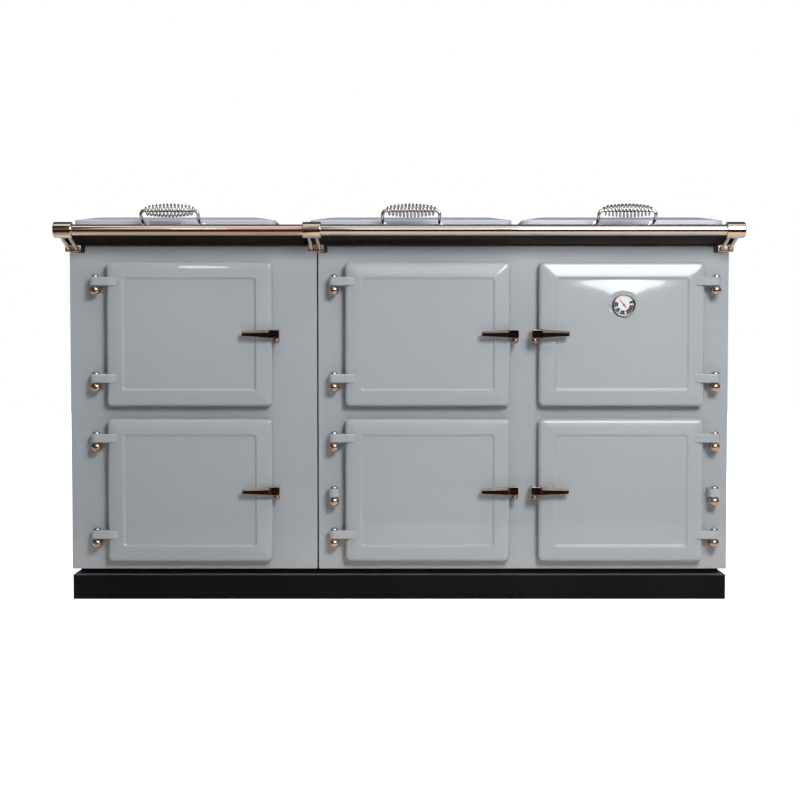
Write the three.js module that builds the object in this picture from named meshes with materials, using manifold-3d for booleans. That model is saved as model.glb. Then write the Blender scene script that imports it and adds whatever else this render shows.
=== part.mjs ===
// Cast iron range cooker: a two-oven module and a four-oven module bolted side by side,
// three insulated lids over hotplates, six hinged doors with latches, and a towel rail.
// Millimetres. x runs to the right, y to the back, z up; y = 0 is the face of the front plates
// until the finished group is centred on its footprint.
import * as THREE from 'three';
import { mergeVertices } from 'three/addons/utils/BufferGeometryUtils.js';
import Module from 'manifold-3d';

const wasm = await Module();
wasm.setup();

// Clearances
const SEAT_GAP = 0.3; // between pieces that rest on or bolt to each other
const PIN_CLEARANCE = 0.4; // on the radius, round a pin that something turns on

// Body
const LEFT_WIDTH = 604;
const RIGHT_WIDTH = 1004;
const MODULE_JOINT = 3;
const BODY_DEPTH = 600;
const HOB_HEIGHT = 900;
const HOB_THICKNESS = 29;
const HOB_FRONT_LAP = 13;
const HOB_SIDE_LAP = 10;
const HOB_JOINT_LAP = 26; // how far the right casting laps over the left module
const HOB_JOINT = 1;
const HOB_CORNER_R = 14;
const HOB_EDGE_R = 5;
const PLINTH_HEIGHT = 61;
const PLINTH_INSET = 1.5;
const PLINTH_WALL = 30;
const RECESS_HEIGHT = 14;
const RECESS_DEPTH = 16;
const RECESS_WALL = 40;
const FRONT_PLATE = 12;
const FRONT_EDGE_R = 2;
const CASING_WALL = 5;
const BACK_PANEL = 4;
const BACK_PANEL_FIELD = 2;
const BACK_PANEL_BORDER = 40;

// Doors
const DOOR_WIDTH = 402;
const DOOR_HEIGHT = 350.5;
const DOOR_BOTTOM = 96.5;
const DOOR_SPACING = 30.5; // between the upper and the lower door
const LEFT_DOOR_INSET = 94.5; // from the left edge of the left module
const MIDDLE_DOOR_INSET = 66.5; // from the left edge of the right module
const RIGHT_DOOR_INSET = 64; // from the right edge of the right module
const DOOR_STANDOFF = 1.5;
const DOOR_SIDE = 20; // where the straight side of the door ends
const DOOR_SHOULDER_R = 10;
const DOOR_FACE = 33;
const DOOR_CORNER_R = 12;
const DOOR_BORDER = 40;
const DOOR_RECESS = 4;
const RECESS_CORNER_R = 6;
const MOUTH_OVERLAP = 26; // how far a door laps over the mouth of its oven
const MOUTH_CORNER_R = 14;
const DOOR_PLUG_CLEARANCE = 5;
const DOOR_PLUG_DEPTH = 10;

// Hinges
const HINGE_TOP_DROP = 47.5;
const HINGE_BOTTOM_RISE = 67.5;
const PIN_OUTSET = 27; // pin axis beyond the edge of the door
const PIN_STANDOFF = 26; // pin axis in front of the front plate
const PIN_R = 4;
const ARM_HEIGHT = 21;
const ARM_END_R = 11.5;
const ARM_LAP = 28; // how far the arm runs over the border of the door
const ARM_BEVEL = 1.8;
const ARM_CHAMFER = 4; // at the far end, on the border of the door
const BALL_R = 12.5;
const DOME_R = 10;
const DOME_HEIGHT = 7;
const STEM_R = 6;
const SPARE_KNUCKLE_Z = 266;
const SPARE_KNUCKLE_WIDTH = 27;

// Latches
const LATCH_PIN_OUTSET = 11;
const LATCH_PIN_RISE = 3; // pin axis in front of the border of the door
const LATCH_PIN_R = 2.5;
const LATCH_BALL_R = 8;
const LATCH_TONGUE_R = 5.5;
const LATCH_TONGUE_HALF = 3;
const LATCH_TONGUE_SINK = 6; // its back, below the end of the door's straight side
const LATCH_TONGUE_TURN = 1.75; // radians; where its slope leaves the round of its end
const LATCH_SLOT_CLEARANCE = 0.6;
const LATCH_LENGTH = 82;
const LATCH_BALL_DROP = 15.5; // below the middle of the lever
const LATCH_PIN_HALF = 10;
const LATCH_FORK_DEPTH = 16; // how far the slot for the tongue runs back and along the lever
const LATCH_FORK_FRONT = 3.2; // what the slot clears in front of the tongue's pin
// Sections from the tip to the far end: w tall, h deep, r at the corners,
// z along the lever from its pin and y outward from the pin
const LEVER_SECTIONS = [
  { w: 9, h: 6, r: 2, z: -LATCH_LENGTH, y: 16 },
  { w: 12.5, h: 8.5, r: 2.5, z: 1 - LATCH_LENGTH, y: 16 },
  { w: 21.5, h: 13, r: 3, z: -18, y: 11.5 },
  { w: 24, h: 17, r: 3, z: -17, y: 10 },
  { w: 24, h: 17, r: 3, z: -13, y: 10 },
  { w: 16, h: 20, r: 3, z: -11.5, y: 1.8 },
  { w: 16, h: 20, r: 3, z: 0.5, y: 1.8 },
  { w: 23, h: 23, r: 3, z: 1.5, y: 0.8 },
  { w: 23, h: 23, r: 3, z: 7, y: 0.8 },
  { w: 19, h: 19, r: 3, z: 8, y: 0.8 },
];
const KEEPER_WIDTH = 14;
const KEEPER_HEIGHT = 20;
const KEEPER_STANDOFF = 18;
const KEEPER_EDGE_GAP = 5;

// Ovens
const LINER_DEPTH = 440;
const LINER_WALL = 5;
const LINER_FLANGE = 20;
const RUNNER_COUNT = 2;
const RUNNER_SPACING = 90;
const RUNNER_SIZE = 6;

// Hotplates and lids
const HOTPLATE_WIDTH = 400;
const HOTPLATE_DEPTH = 380;
const HOTPLATE_CORNER_R = 36;
const HOTPLATE_SINK = 16;
const HOTPLATE_PROUD = 5;
const HOTPLATE_CLEARANCE = 1;
const LID_WIDTH = 497;
const LID_DEPTH = 480;
const LID_FRONT = 20; // lid front face behind the front plate
const LID_RIM_HEIGHT = 34;
const LID_HEIGHT = 44;
const LID_BEVEL = 47;
const LID_CORNER_R = 22;
const LID_EDGE_R = 4;
const LID_RIM_WIDTH = 36;
const LID_HOLLOW = 12;
const LEFT_LID_INSET = 4.5; // from the left edge of the left module
const MIDDLE_LID_INSET = 7.5; // from the left end of the right hob casting
const RIGHT_LID_INSET = 8.5; // from the right edge of the right module
const LID_AXIS_BACK = 12; // hinge axis behind the back face of the lid
const LID_AXIS_RISE = 14; // hinge axis above the hob
const LID_LUG_R = 10.5;
const LID_LUG_WIDTH = 16;
const LID_LUG_SINK = 8; // how far the root of a lug lies inside the lid
const LID_EAR_WIDTH = 14;
const LID_EAR_R = 11;
const LID_EAR_OFFSET = 165;
const TRUNNION_R = 5;

// Lid handles
const HANDLE_LEG_SPACING = 137;
const HANDLE_BAR_R = 4;
const HANDLE_FOOT_RISE = 21.5; // above the hob
const HANDLE_GRIP_RISE = 49;
const HANDLE_REACH = 70;
const HANDLE_COLLAR_R = 8;
const HANDLE_COLLAR = 4;
// The bend of a leg: x from the leg inward, y from the grip back and z from the grip down
const HANDLE_BEND = [[0, 12, 18.5], [0, 1, 9], [4, 0, 1.5], [14, 0, 0]];
const HANDLE_RUN = 30; // the straight part of a leg in front of its collar
const HANDLE_GRIP_TURN = 0.45; // where the grip runs level, as a share of its half length
const COIL_END_GAP = 9.5; // from each end of the coil to the axis of the leg beside it
const COIL_TURNS = 13.5;
const COIL_WIRE_R = 2.1;
const COIL_MIDDLE_R = 14.9; // to the centre of the wire
const COIL_END_R = 9.4;
const COIL_STEPS_PER_TURN = 8;
const COIL_SIDES = 5;
const COIL_SEAT_TURNS = 0.75; // the turns that draw in to grip the bar

// Towel rail
const RAIL_R = 13;
const RAIL_STANDOFF = 80;
const RAIL_LIFT = 0; // above the hob surface
const BARREL_R = 19;
const BARREL_LENGTH = 44;
const BARREL_EDGE_R = 3;
const SOCKET_DEPTH = 14;
const SOCKET_CLEARANCE = 0.3;
const BARREL_INSET = 5; // middle of each outer barrel, inside the edge of the body
const MIDDLE_BARREL_SHIFT = -8.5; // from the middle of the module joint
const FOOT_WIDTH = 38;
const FOOT_HEIGHT = 17.5;
const FOOT_THICKNESS = 8;
const FOOT_SHIFT = 5; // feet lie this much nearer the middle of each module
const STRUT_R = 4.6;
const STRUT_SPACING = 19;
const STRUT_BALL_R = 6.2;
const STRUT_SINK_BACK = 7; // start of a strut inside the back of the barrel
const STRUT_SINK_LOW = 8; // and above the bottom of the barrel
const STRUT_FOOT_GAP = 1; // end of a strut in front of the foot and below its middle

// Thermometer in the upper right door
const GAUGE_X = 3;
const GAUGE_RISE = 70.5; // above the middle of the door
const GAUGE_BOSS_R = 33;
const GAUGE_BOSS = 2;
const GAUGE_R = 28;
const GAUGE_FACE_R = 23.5;
const GAUGE_HEIGHT = 10;
const GAUGE_FACE_SINK = 5;
const GAUGE_BEVEL = { width: 2, height: 3 }; // round the front of the case
const GAUGE_STEM_R = 5;
const GAUGE_STEM_PROUD = 4;
const NEEDLE_LENGTH = 17;
const NEEDLE_TAIL = 7;
const NEEDLE_HALF = 1.4;
const NEEDLE_TIP_HALF = 0.4;
const NEEDLE_HUB_R = 3.6;
const NEEDLE_THICKNESS = 1.2;
const NEEDLE_REST = THREE.MathUtils.degToRad(38); // anticlockwise from straight up

// Worked out from the dimensions above
const LEFT_EDGE = -(LEFT_WIDTH + MODULE_JOINT + RIGHT_WIDTH) / 2;
const RIGHT_EDGE = -LEFT_EDGE;
const LEFT_MODULE = { x0: LEFT_EDGE, x1: LEFT_EDGE + LEFT_WIDTH };
const RIGHT_MODULE = { x0: LEFT_MODULE.x1 + MODULE_JOINT, x1: RIGHT_EDGE };
const HOB_BOTTOM = HOB_HEIGHT - HOB_THICKNESS;
const BODY_BOTTOM = PLINTH_HEIGHT + RECESS_HEIGHT + SEAT_GAP;
const BODY_TOP = HOB_BOTTOM - SEAT_GAP;
const MOUTH_WIDTH = DOOR_WIDTH - 2 * MOUTH_OVERLAP;
const MOUTH_HEIGHT = DOOR_HEIGHT - 2 * MOUTH_OVERLAP;
const LOWER_Z = DOOR_BOTTOM + DOOR_HEIGHT / 2;
const UPPER_Z = LOWER_Z + DOOR_HEIGHT + DOOR_SPACING;
const LATCH_PIN_STANDOFF = DOOR_FACE + LATCH_PIN_RISE;
const COIL_LENGTH = HANDLE_LEG_SPACING - 2 * COIL_END_GAP;
const RAIL_Z = HOB_HEIGHT + RAIL_LIFT;
const MIDDLE_BARREL_X = LEFT_MODULE.x1 + MODULE_JOINT / 2 + MIDDLE_BARREL_SHIFT;
const FOOT_Z = HOB_BOTTOM - SEAT_GAP - FOOT_HEIGHT / 2;
const HINGE_HEIGHTS = { top: DOOR_HEIGHT / 2 - HINGE_TOP_DROP, bottom: HINGE_BOTTOM_RISE - DOOR_HEIGHT / 2 };

// side is +1 where the door hangs at its left, -1 where it hangs at its right
const DOORS = [
  { column: 'left', x: LEFT_MODULE.x0 + LEFT_DOOR_INSET + DOOR_WIDTH / 2, side: 1 },
  { column: 'middle', x: RIGHT_MODULE.x0 + MIDDLE_DOOR_INSET + DOOR_WIDTH / 2, side: 1 },
  { column: 'right', x: RIGHT_MODULE.x1 - RIGHT_DOOR_INSET - DOOR_WIDTH / 2, side: -1 },
].flatMap((door) => [
  { ...door, name: `${door.column}_upper`, z: UPPER_Z },
  { ...door, name: `${door.column}_lower`, z: LOWER_Z },
]);
const HOB_SEAM = LEFT_MODULE.x1 - HOB_JOINT_LAP;
const LIDS = [
  { name: 'left', x: LEFT_EDGE + LEFT_LID_INSET + LID_WIDTH / 2 },
  { name: 'middle', x: HOB_SEAM + MIDDLE_LID_INSET + LID_WIDTH / 2 },
  { name: 'right', x: RIGHT_EDGE - RIGHT_LID_INSET - LID_WIDTH / 2 },
];

function finish(color, roughness, metalness) {
  return new THREE.MeshStandardMaterial({ color, roughness, metalness });
}

const GREY_ENAMEL = finish(0x9ba0a4, 0.16, 0);
const BLACK_ENAMEL = finish(0x17171a, 0.25, 0);
const POLISHED = finish(0xcfc3b6, 0.12, 1);
const RAIL_STEEL = finish(0xcdb8a4, 0.1, 1);
const CHROME = finish(0xd9dcdf, 0.08, 1);
const RAW_IRON = finish(0x3a3b3c, 0.6, 0.4);
const OVEN_IRON = finish(0x2b2c2e, 0.7, 0.2);
const GALVANISED = finish(0x8c8f90, 0.5, 0.7);
const DIAL_WHITE = finish(0xe9e9e6, 0.35, 0);
const NEEDLE_RED = finish(0xb3242a, 0.4, 0);

// ---------------------------------------------------------------- solids and booleans

function toSolid(geometry) {
  const bare = geometry.clone();
  bare.deleteAttribute('normal');
  bare.deleteAttribute('uv');
  const merged = mergeVertices(bare, 1e-4);
  const corners = [];
  for (let i = 0; i < merged.index.count; i += 3) {
    const [a, b, c] = [0, 1, 2].map((k) => merged.index.getX(i + k));
    if (a !== b && b !== c && c !== a) corners.push(a, b, c);
  }
  return new wasm.Manifold(new wasm.Mesh({
    numProp: 3,
    vertProperties: new Float32Array(merged.attributes.position.array),
    triVerts: new Uint32Array(corners),
  }));
}

function toGeometry(solid) {
  const { vertProperties, triVerts } = solid.getMesh();
  const geometry = new THREE.BufferGeometry();
  geometry.setAttribute('position', new THREE.BufferAttribute(vertProperties, 3));
  geometry.setIndex(new THREE.BufferAttribute(triVerts, 1));
  geometry.computeVertexNormals();
  return geometry;
}

const joined = (...pieces) => toGeometry(pieces.map(toSolid).reduce((sum, piece) => sum.add(piece)));

const carved = (base, ...tools) => toGeometry(
  tools.map(toSolid).reduce((rest, tool) => rest.subtract(tool), toSolid(base)),
);

function mirrored(geometry) {
  const flipped = geometry.clone().scale(-1, 1, 1);
  const corners = flipped.index.array;
  for (let i = 0; i < corners.length; i += 3) {
    [corners[i + 1], corners[i + 2]] = [corners[i + 2], corners[i + 1]];
  }
  flipped.computeVertexNormals();
  return flipped;
}

// ---------------------------------------------------------------- shapes

function block(x0, x1, y0, y1, z0, z1) {
  const geometry = new THREE.BoxGeometry(x1 - x0, y1 - y0, z1 - z0);
  return geometry.translate((x0 + x1) / 2, (y0 + y1) / 2, (z0 + z1) / 2);
}

function roundedOutline(width, height, radius, steps) {
  const quarters = [[1, 1], [-1, 1], [-1, -1], [1, -1]];
  return quarters.flatMap(([sx, sy], quarter) => Array.from({ length: steps + 1 }, (_, i) => {
    const angle = (quarter + i / steps) * Math.PI / 2;
    const x = sx * (width / 2 - radius) + radius * Math.cos(angle);
    const y = sy * (height / 2 - radius) + radius * Math.sin(angle);
    return new THREE.Vector2(x, y);
  }));
}

// A closed skin through rounded rectangles { w, h, r, z, x, y }, capped at both ends.
function loft(sections, cornerSteps = 2) {
  const count = 4 * (cornerSteps + 1);
  const points = sections.flatMap(({ w, h, r, z, x = 0, y = 0 }) => roundedOutline(w, h, r, cornerSteps)
    .map((point) => new THREE.Vector3(point.x + x, point.y + y, z)));
  const centre = ({ x = 0, y = 0, z }) => new THREE.Vector3(x, y, z);
  points.push(centre(sections[0]), centre(sections.at(-1)));
  const [bottom, top] = [points.length - 2, points.length - 1];
  const corners = [];
  for (let i = 0; i < count; i += 1) {
    const next = (i + 1) % count;
    corners.push(bottom, next, i);
    corners.push(top, (sections.length - 1) * count + i, (sections.length - 1) * count + next);
    for (let row = 0; row < sections.length - 1; row += 1) {
      const [a, b] = [row * count + i, row * count + next];
      corners.push(a, b, b + count, a, b + count, a + count);
    }
  }
  const geometry = new THREE.BufferGeometry().setFromPoints(points);
  geometry.setIndex(corners);
  geometry.computeVertexNormals();
  return geometry;
}

// Sections that round a straight side of w by h over to a top, over a quarter circle.
function roundedShoulder(w, h, r, z, radius, steps = 3) {
  return Array.from({ length: steps + 1 }, (_, i) => {
    const angle = i / steps * Math.PI / 2;
    const inset = radius * (1 - Math.cos(angle));
    return { w: w - 2 * inset, h: h - 2 * inset, r: Math.max(r - inset, 1), z: z + radius * Math.sin(angle) };
  });
}

const extruded = (outline, depth, options = {}) => new THREE.ExtrudeGeometry(outline, {
  depth, bevelEnabled: false, curveSegments: 3, ...options,
});

const rectangle = (w, h, r) => new THREE.Shape(roundedOutline(w, h, r, 2));

// An outline in plan (x, outward), run from -height / 2 to +height / 2 up the face.
function planExtrusion(outline, height, bevel = 0) {
  const options = bevel ? { bevelEnabled: true, bevelSize: bevel, bevelOffset: -bevel, bevelThickness: bevel,
    bevelSegments: 1 } : {};
  const geometry = extruded(outline, height - 2 * bevel, options);
  return geometry.translate(0, 0, bevel - height / 2).rotateX(Math.PI / 2);
}

function cylinder(radius, from, to, sides = 8) {
  const [start, end] = [new THREE.Vector3(...from), new THREE.Vector3(...to)];
  const along = end.clone().sub(start);
  const geometry = new THREE.CylinderGeometry(radius, radius, along.length(), sides);
  const turn = new THREE.Quaternion().setFromUnitVectors(new THREE.Vector3(0, 1, 0), along.normalize());
  return geometry.applyQuaternion(turn).translate(...start.add(end).multiplyScalar(0.5).toArray());
}

// A cutter whose flats, not its corners, lie at the radius.
const bore = (radius, from, to, sides = 8) => cylinder(radius / Math.cos(Math.PI / sides), from, to, sides);

function ball(radius, x, y, z, sides = 8) {
  return new THREE.SphereGeometry(radius, sides, Math.round(sides * 0.6)).translate(x, y, z);
}

function lathe(profile, sides) {
  return new THREE.LatheGeometry(profile.map(([r, h]) => new THREE.Vector2(r, h)), sides);
}

// ---------------------------------------------------------------- body

function plinth() {
  const [x0, x1] = [LEFT_EDGE + PLINTH_INSET, RIGHT_EDGE - PLINTH_INSET];
  const frame = (inset, wall, z0, z1) => {
    const [a, b, front, back] = [x0 + inset, x1 - inset, inset, BODY_DEPTH - inset];
    const outer = block(a, b, front, back, z0, z1);
    return carved(outer, block(a + wall, b - wall, front + wall, back - wall, z0 - 1, z1 + 1));
  };
  const foot = frame(0, PLINTH_WALL, 0, PLINTH_HEIGHT);
  return joined(foot, frame(RECESS_DEPTH, RECESS_WALL, PLINTH_HEIGHT - 1, PLINTH_HEIGHT + RECESS_HEIGHT));
}

function casing({ x0, x1 }) {
  const shell = new THREE.Shape([
    [x0, BODY_BOTTOM], [x1, BODY_BOTTOM], [x1, BODY_TOP], [x1 - CASING_WALL, BODY_TOP],
    [x1 - CASING_WALL, BODY_BOTTOM + CASING_WALL], [x0 + CASING_WALL, BODY_BOTTOM + CASING_WALL],
    [x0 + CASING_WALL, BODY_TOP], [x0, BODY_TOP],
  ].map(([x, z]) => new THREE.Vector2(x, z)));
  const front = FRONT_PLATE + SEAT_GAP;
  return extruded(shell, BODY_DEPTH - front).rotateX(Math.PI / 2).translate(0, BODY_DEPTH, 0);
}

function backPanel({ x0, x1 }) {
  const w = x1 - x0 - 2 * (CASING_WALL + SEAT_GAP);
  const h = BODY_TOP - BODY_BOTTOM - CASING_WALL - 2 * SEAT_GAP;
  const field = { w: w - 2 * BACK_PANEL_BORDER, h: h - 2 * BACK_PANEL_BORDER, r: 12 };
  const edge = { w, h, r: 2 };
  const plate = loft([
    { ...edge, z: 0 },
    { ...edge, z: BACK_PANEL - BACK_PANEL_FIELD },
    { ...field, z: BACK_PANEL - BACK_PANEL_FIELD },
    { ...field, w: field.w - 6, h: field.h - 6, z: BACK_PANEL },
  ]);
  const z = (BODY_TOP + BODY_BOTTOM + CASING_WALL) / 2;
  return plate.rotateX(-Math.PI / 2).translate((x0 + x1) / 2, BODY_DEPTH - BACK_PANEL, z);
}

// Drawn in the face frame: x right, y up, z outward from the face.
function frontPlate({ x0, x1 }) {
  const [cx, cz] = [(x0 + x1) / 2, (BODY_BOTTOM + BODY_TOP) / 2];
  const [w, h, r] = [x1 - x0, BODY_TOP - BODY_BOTTOM, FRONT_EDGE_R + 0.5];
  const doors = DOORS.filter((door) => door.x > x0 && door.x < x1);
  const mouth = rectangle(MOUTH_WIDTH, MOUTH_HEIGHT, MOUTH_CORNER_R);
  const mouths = doors.map((door) => extruded(mouth, 2 * FRONT_PLATE)
    .translate(door.x, door.z, -1.5 * FRONT_PLATE));
  const slab = loft([
    { w, h, r, z: -FRONT_PLATE },
    ...roundedShoulder(w, h, r, -FRONT_EDGE_R, FRONT_EDGE_R, 2),
  ]).translate(cx, cz, 0);
  const plate = carved(slab, ...mouths);
  const keepers = doors.map((door) => {
    const near = door.x + door.side * (DOOR_WIDTH / 2 + KEEPER_EDGE_GAP);
    const edges = [near, near + door.side * KEEPER_WIDTH].sort((a, b) => a - b);
    return block(...edges, door.z - KEEPER_HEIGHT / 2, door.z + KEEPER_HEIGHT / 2, -1, KEEPER_STANDOFF);
  });
  return joined(plate, ...keepers);
}

function hob(x0, x1, lids) {
  const [w, h] = [x1 - x0, BODY_DEPTH + HOB_FRONT_LAP];
  const [cx, cy] = [(x0 + x1) / 2, (BODY_DEPTH - HOB_FRONT_LAP) / 2];
  const slab = loft([
    { w: w - 3, h: h - 3, r: HOB_CORNER_R - 1.5, z: HOB_BOTTOM },
    { w, h, r: HOB_CORNER_R, z: HOB_BOTTOM + 1.5 },
    ...roundedShoulder(w, h, HOB_CORNER_R, HOB_HEIGHT - HOB_EDGE_R, HOB_EDGE_R, 2),
  ]).translate(cx, cy, 0);
  const wells = lids.map(({ x }) => hotplateSolid(2 * HOTPLATE_CLEARANCE, HOTPLATE_SINK + SEAT_GAP, 1)
    .translate(x, hotplateY(), 0));
  const ears = lids.flatMap(({ x }) => [-1, 1].map((side) => lidEar(x + side * LID_EAR_OFFSET)));
  return joined(carved(slab, ...wells), ...ears);
}

const hotplateY = () => LID_FRONT + LID_DEPTH / 2;

function hotplateSolid(grow, sink, proud) {
  const [w, h, r] = [HOTPLATE_WIDTH + grow, HOTPLATE_DEPTH + grow, HOTPLATE_CORNER_R + grow / 2];
  return loft([
    { w, h, r, z: HOB_HEIGHT - sink },
    { w, h, r, z: HOB_HEIGHT + proud - 1 },
    { w: w - 2, h: h - 2, r: r - 1, z: HOB_HEIGHT + proud },
  ], 3);
}

const lidAxis = () => ({ y: LID_FRONT + LID_DEPTH + LID_AXIS_BACK, z: HOB_HEIGHT + LID_AXIS_RISE });

// An upright plate of the given width in x, round about the lid's hinge axis.
function uprightPlate(x, width, outline) {
  const plate = extruded(outline, width);
  const turn = new THREE.Matrix4().makeBasis(
    new THREE.Vector3(0, 1, 0), new THREE.Vector3(0, 0, 1), new THREE.Vector3(1, 0, 0),
  );
  const { y, z } = lidAxis();
  return plate.translate(0, 0, -width / 2).applyMatrix4(turn).translate(x, y, z);
}

function lidEar(x) {
  const outline = new THREE.Shape();
  outline.moveTo(-LID_EAR_R, -LID_AXIS_RISE - 1);
  outline.lineTo(LID_EAR_R, -LID_AXIS_RISE - 1);
  outline.absarc(0, 0, LID_EAR_R, 0, Math.PI, false);
  const { y, z } = lidAxis();
  const eye = bore(TRUNNION_R + PIN_CLEARANCE, [x - LID_EAR_WIDTH, y, z], [x + LID_EAR_WIDTH, y, z]);
  return carved(uprightPlate(x, LID_EAR_WIDTH, outline), eye);
}

function ovenLiner(door) {
  const shell = (grow, y0, y1) => {
    const outline = rectangle(MOUTH_WIDTH + grow, MOUTH_HEIGHT + grow, MOUTH_CORNER_R + grow / 2);
    return extruded(outline, y1 - y0).rotateX(Math.PI / 2).translate(0, y1, 0);
  };
  const front = FRONT_PLATE + SEAT_GAP;
  const outer = shell(2 * LINER_WALL, front, front + LINER_DEPTH);
  const flange = shell(2 * LINER_FLANGE, front, front + LINER_WALL);
  const hollow = carved(joined(outer, flange), shell(0, front - 1, front + LINER_DEPTH - LINER_WALL));
  const runners = [-1, 1].flatMap((side) => Array.from({ length: RUNNER_COUNT }, (_, i) => {
    const z = (i - (RUNNER_COUNT - 1) / 2) * RUNNER_SPACING;
    const wall = side * MOUTH_WIDTH / 2;
    const edges = [wall + side, wall - side * RUNNER_SIZE].sort((a, b) => a - b);
    const ends = [front + MOUTH_OVERLAP, front + LINER_DEPTH - 1];
    return block(...edges, ...ends, z - RUNNER_SIZE / 2, z + RUNNER_SIZE / 2);
  }));
  return joined(hollow, ...runners).translate(door.x, 0, door.z);
}

// ---------------------------------------------------------------- doors, in the face frame

const recessFace = () => DOOR_FACE - DOOR_RECESS;

const pinBore = () => bore(PIN_R + PIN_CLEARANCE, [0, -ARM_HEIGHT, 0], [0, ARM_HEIGHT, 0]);

function hingeArm(height) {
  const reach = PIN_OUTSET + ARM_LAP;
  const outline = new THREE.Shape();
  outline.moveTo(PIN_OUTSET + 6, -ARM_END_R);
  outline.lineTo(0, -ARM_END_R);
  outline.absarc(0, 0, ARM_END_R, -Math.PI / 2, Math.PI / 2, true);
  outline.lineTo(reach - ARM_CHAMFER, ARM_END_R);
  outline.lineTo(reach, ARM_END_R - ARM_CHAMFER);
  outline.lineTo(reach, 0);
  const arm = planExtrusion(outline, ARM_HEIGHT, ARM_BEVEL);
  return carved(arm, pinBore()).translate(-DOOR_WIDTH / 2 - PIN_OUTSET, height, PIN_STANDOFF);
}

function latchTongue() {
  const outline = new THREE.Shape();
  const r = LATCH_TONGUE_R;
  const rise = recessFace() - LATCH_PIN_STANDOFF;
  outline.moveTo(-2 * LATCH_PIN_OUTSET, rise - 1);
  const turn = LATCH_TONGUE_TURN;
  const back = DOOR_SIDE - LATCH_TONGUE_SINK - LATCH_PIN_STANDOFF;
  outline.lineTo(r * Math.cos(turn), r * Math.sin(turn));
  outline.absarc(0, 0, r, turn, -Math.PI / 3, true);
  outline.lineTo(-LATCH_PIN_OUTSET - 2, back);
  outline.lineTo(-2 * LATCH_PIN_OUTSET, back);
  const tongue = planExtrusion(outline, 2 * LATCH_TONGUE_HALF);
  const eye = bore(LATCH_PIN_R + PIN_CLEARANCE, [0, -2 * r, 0], [0, 2 * r, 0]);
  return carved(tongue, eye).translate(DOOR_WIDTH / 2 + LATCH_PIN_OUTSET, 0, LATCH_PIN_STANDOFF);
}

// Plug, back, rounded edge, sloped border and recess, in one skin from the oven side to the front.
function doorPanel() {
  const [w, h] = [DOOR_WIDTH, DOOR_HEIGHT];
  const plug = {
    w: MOUTH_WIDTH - 2 * DOOR_PLUG_CLEARANCE,
    h: MOUTH_HEIGHT - 2 * DOOR_PLUG_CLEARANCE,
    r: MOUTH_CORNER_R - DOOR_PLUG_CLEARANCE,
  };
  const inset = (amount, r, z) => ({ w: w - 2 * amount, h: h - 2 * amount, r, z });
  return loft([
    { ...plug, z: -DOOR_PLUG_DEPTH },
    { ...plug, z: DOOR_STANDOFF },
    inset(1, DOOR_CORNER_R - 1, DOOR_STANDOFF),
    inset(0, DOOR_CORNER_R, DOOR_STANDOFF + 1),
    ...roundedShoulder(w, h, DOOR_CORNER_R, DOOR_SIDE, DOOR_SHOULDER_R),
    inset(DOOR_BORDER - 2, RECESS_CORNER_R + 2, DOOR_FACE),
    inset(DOOR_BORDER, RECESS_CORNER_R, DOOR_FACE - 1),
    inset(DOOR_BORDER + 3, RECESS_CORNER_R - 2, recessFace()),
  ]);
}

const withGauge = (door) => door.name === 'right_upper';

function doorGeometry(door) {
  const arms = Object.values(HINGE_HEIGHTS).map(hingeArm);
  const leaf = joined(doorPanel(), latchTongue(), ...arms);
  const handed = door.side > 0 ? leaf : mirrored(leaf);
  if (!withGauge(door)) return handed;
  const boss = cylinder(GAUGE_BOSS_R, [GAUGE_X, GAUGE_RISE, recessFace() - 2],
    [GAUGE_X, GAUGE_RISE, recessFace() + GAUGE_BOSS], 20);
  const stemHole = bore(GAUGE_STEM_R + SEAT_GAP, [GAUGE_X, GAUGE_RISE, -DOOR_PLUG_DEPTH - 5],
    [GAUGE_X, GAUGE_RISE, DOOR_FACE + 5]);
  return carved(joined(handed, boss), stemHole);
}

// Height of the horizontal stem of a hinge pin below the middle of the arm.
const stemHeight = () => -(ARM_HEIGHT / 2 + SEAT_GAP + BALL_R - 2);

// Ball, shaft and dome in one turning, with the stem that screws into the front plate.
function hingePin() {
  const ballY = stemHeight();
  const shaft = ARM_HEIGHT / 2 + SEAT_GAP;
  const steps = 5;
  const flat = Math.asin((-shaft - ballY) / BALL_R);
  const profile = Array.from({ length: steps + 1 }, (_, i) => {
    const angle = -Math.PI / 2 + i / steps * (flat + Math.PI / 2);
    return [i === 0 ? 0 : BALL_R * Math.cos(angle), ballY + BALL_R * Math.sin(angle)];
  });
  profile.push([PIN_R, -shaft], [PIN_R, shaft]);
  for (let i = 0; i <= 2; i += 1) {
    const angle = i / 2 * Math.PI / 2;
    profile.push([i === 2 ? 0 : DOME_R * Math.cos(angle), shaft + DOME_HEIGHT * Math.sin(angle)]);
  }
  const stem = cylinder(STEM_R, [0, ballY, 0], [0, ballY, SEAT_GAP - PIN_STANDOFF]);
  return joined(lathe(profile, 8), stem);
}

// The fixed knuckle of the right module that carries a pin without a door arm.
function spareKnuckle() {
  const outline = new THREE.Shape();
  const half = SPARE_KNUCKLE_WIDTH / 2;
  outline.moveTo(half, -PIN_STANDOFF - 1);
  outline.lineTo(half, 0);
  outline.absarc(0, 0, half, 0, Math.PI, false);
  outline.lineTo(-half, -PIN_STANDOFF - 1);
  return carved(planExtrusion(outline, ARM_HEIGHT, ARM_BEVEL), pinBore());
}

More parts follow.
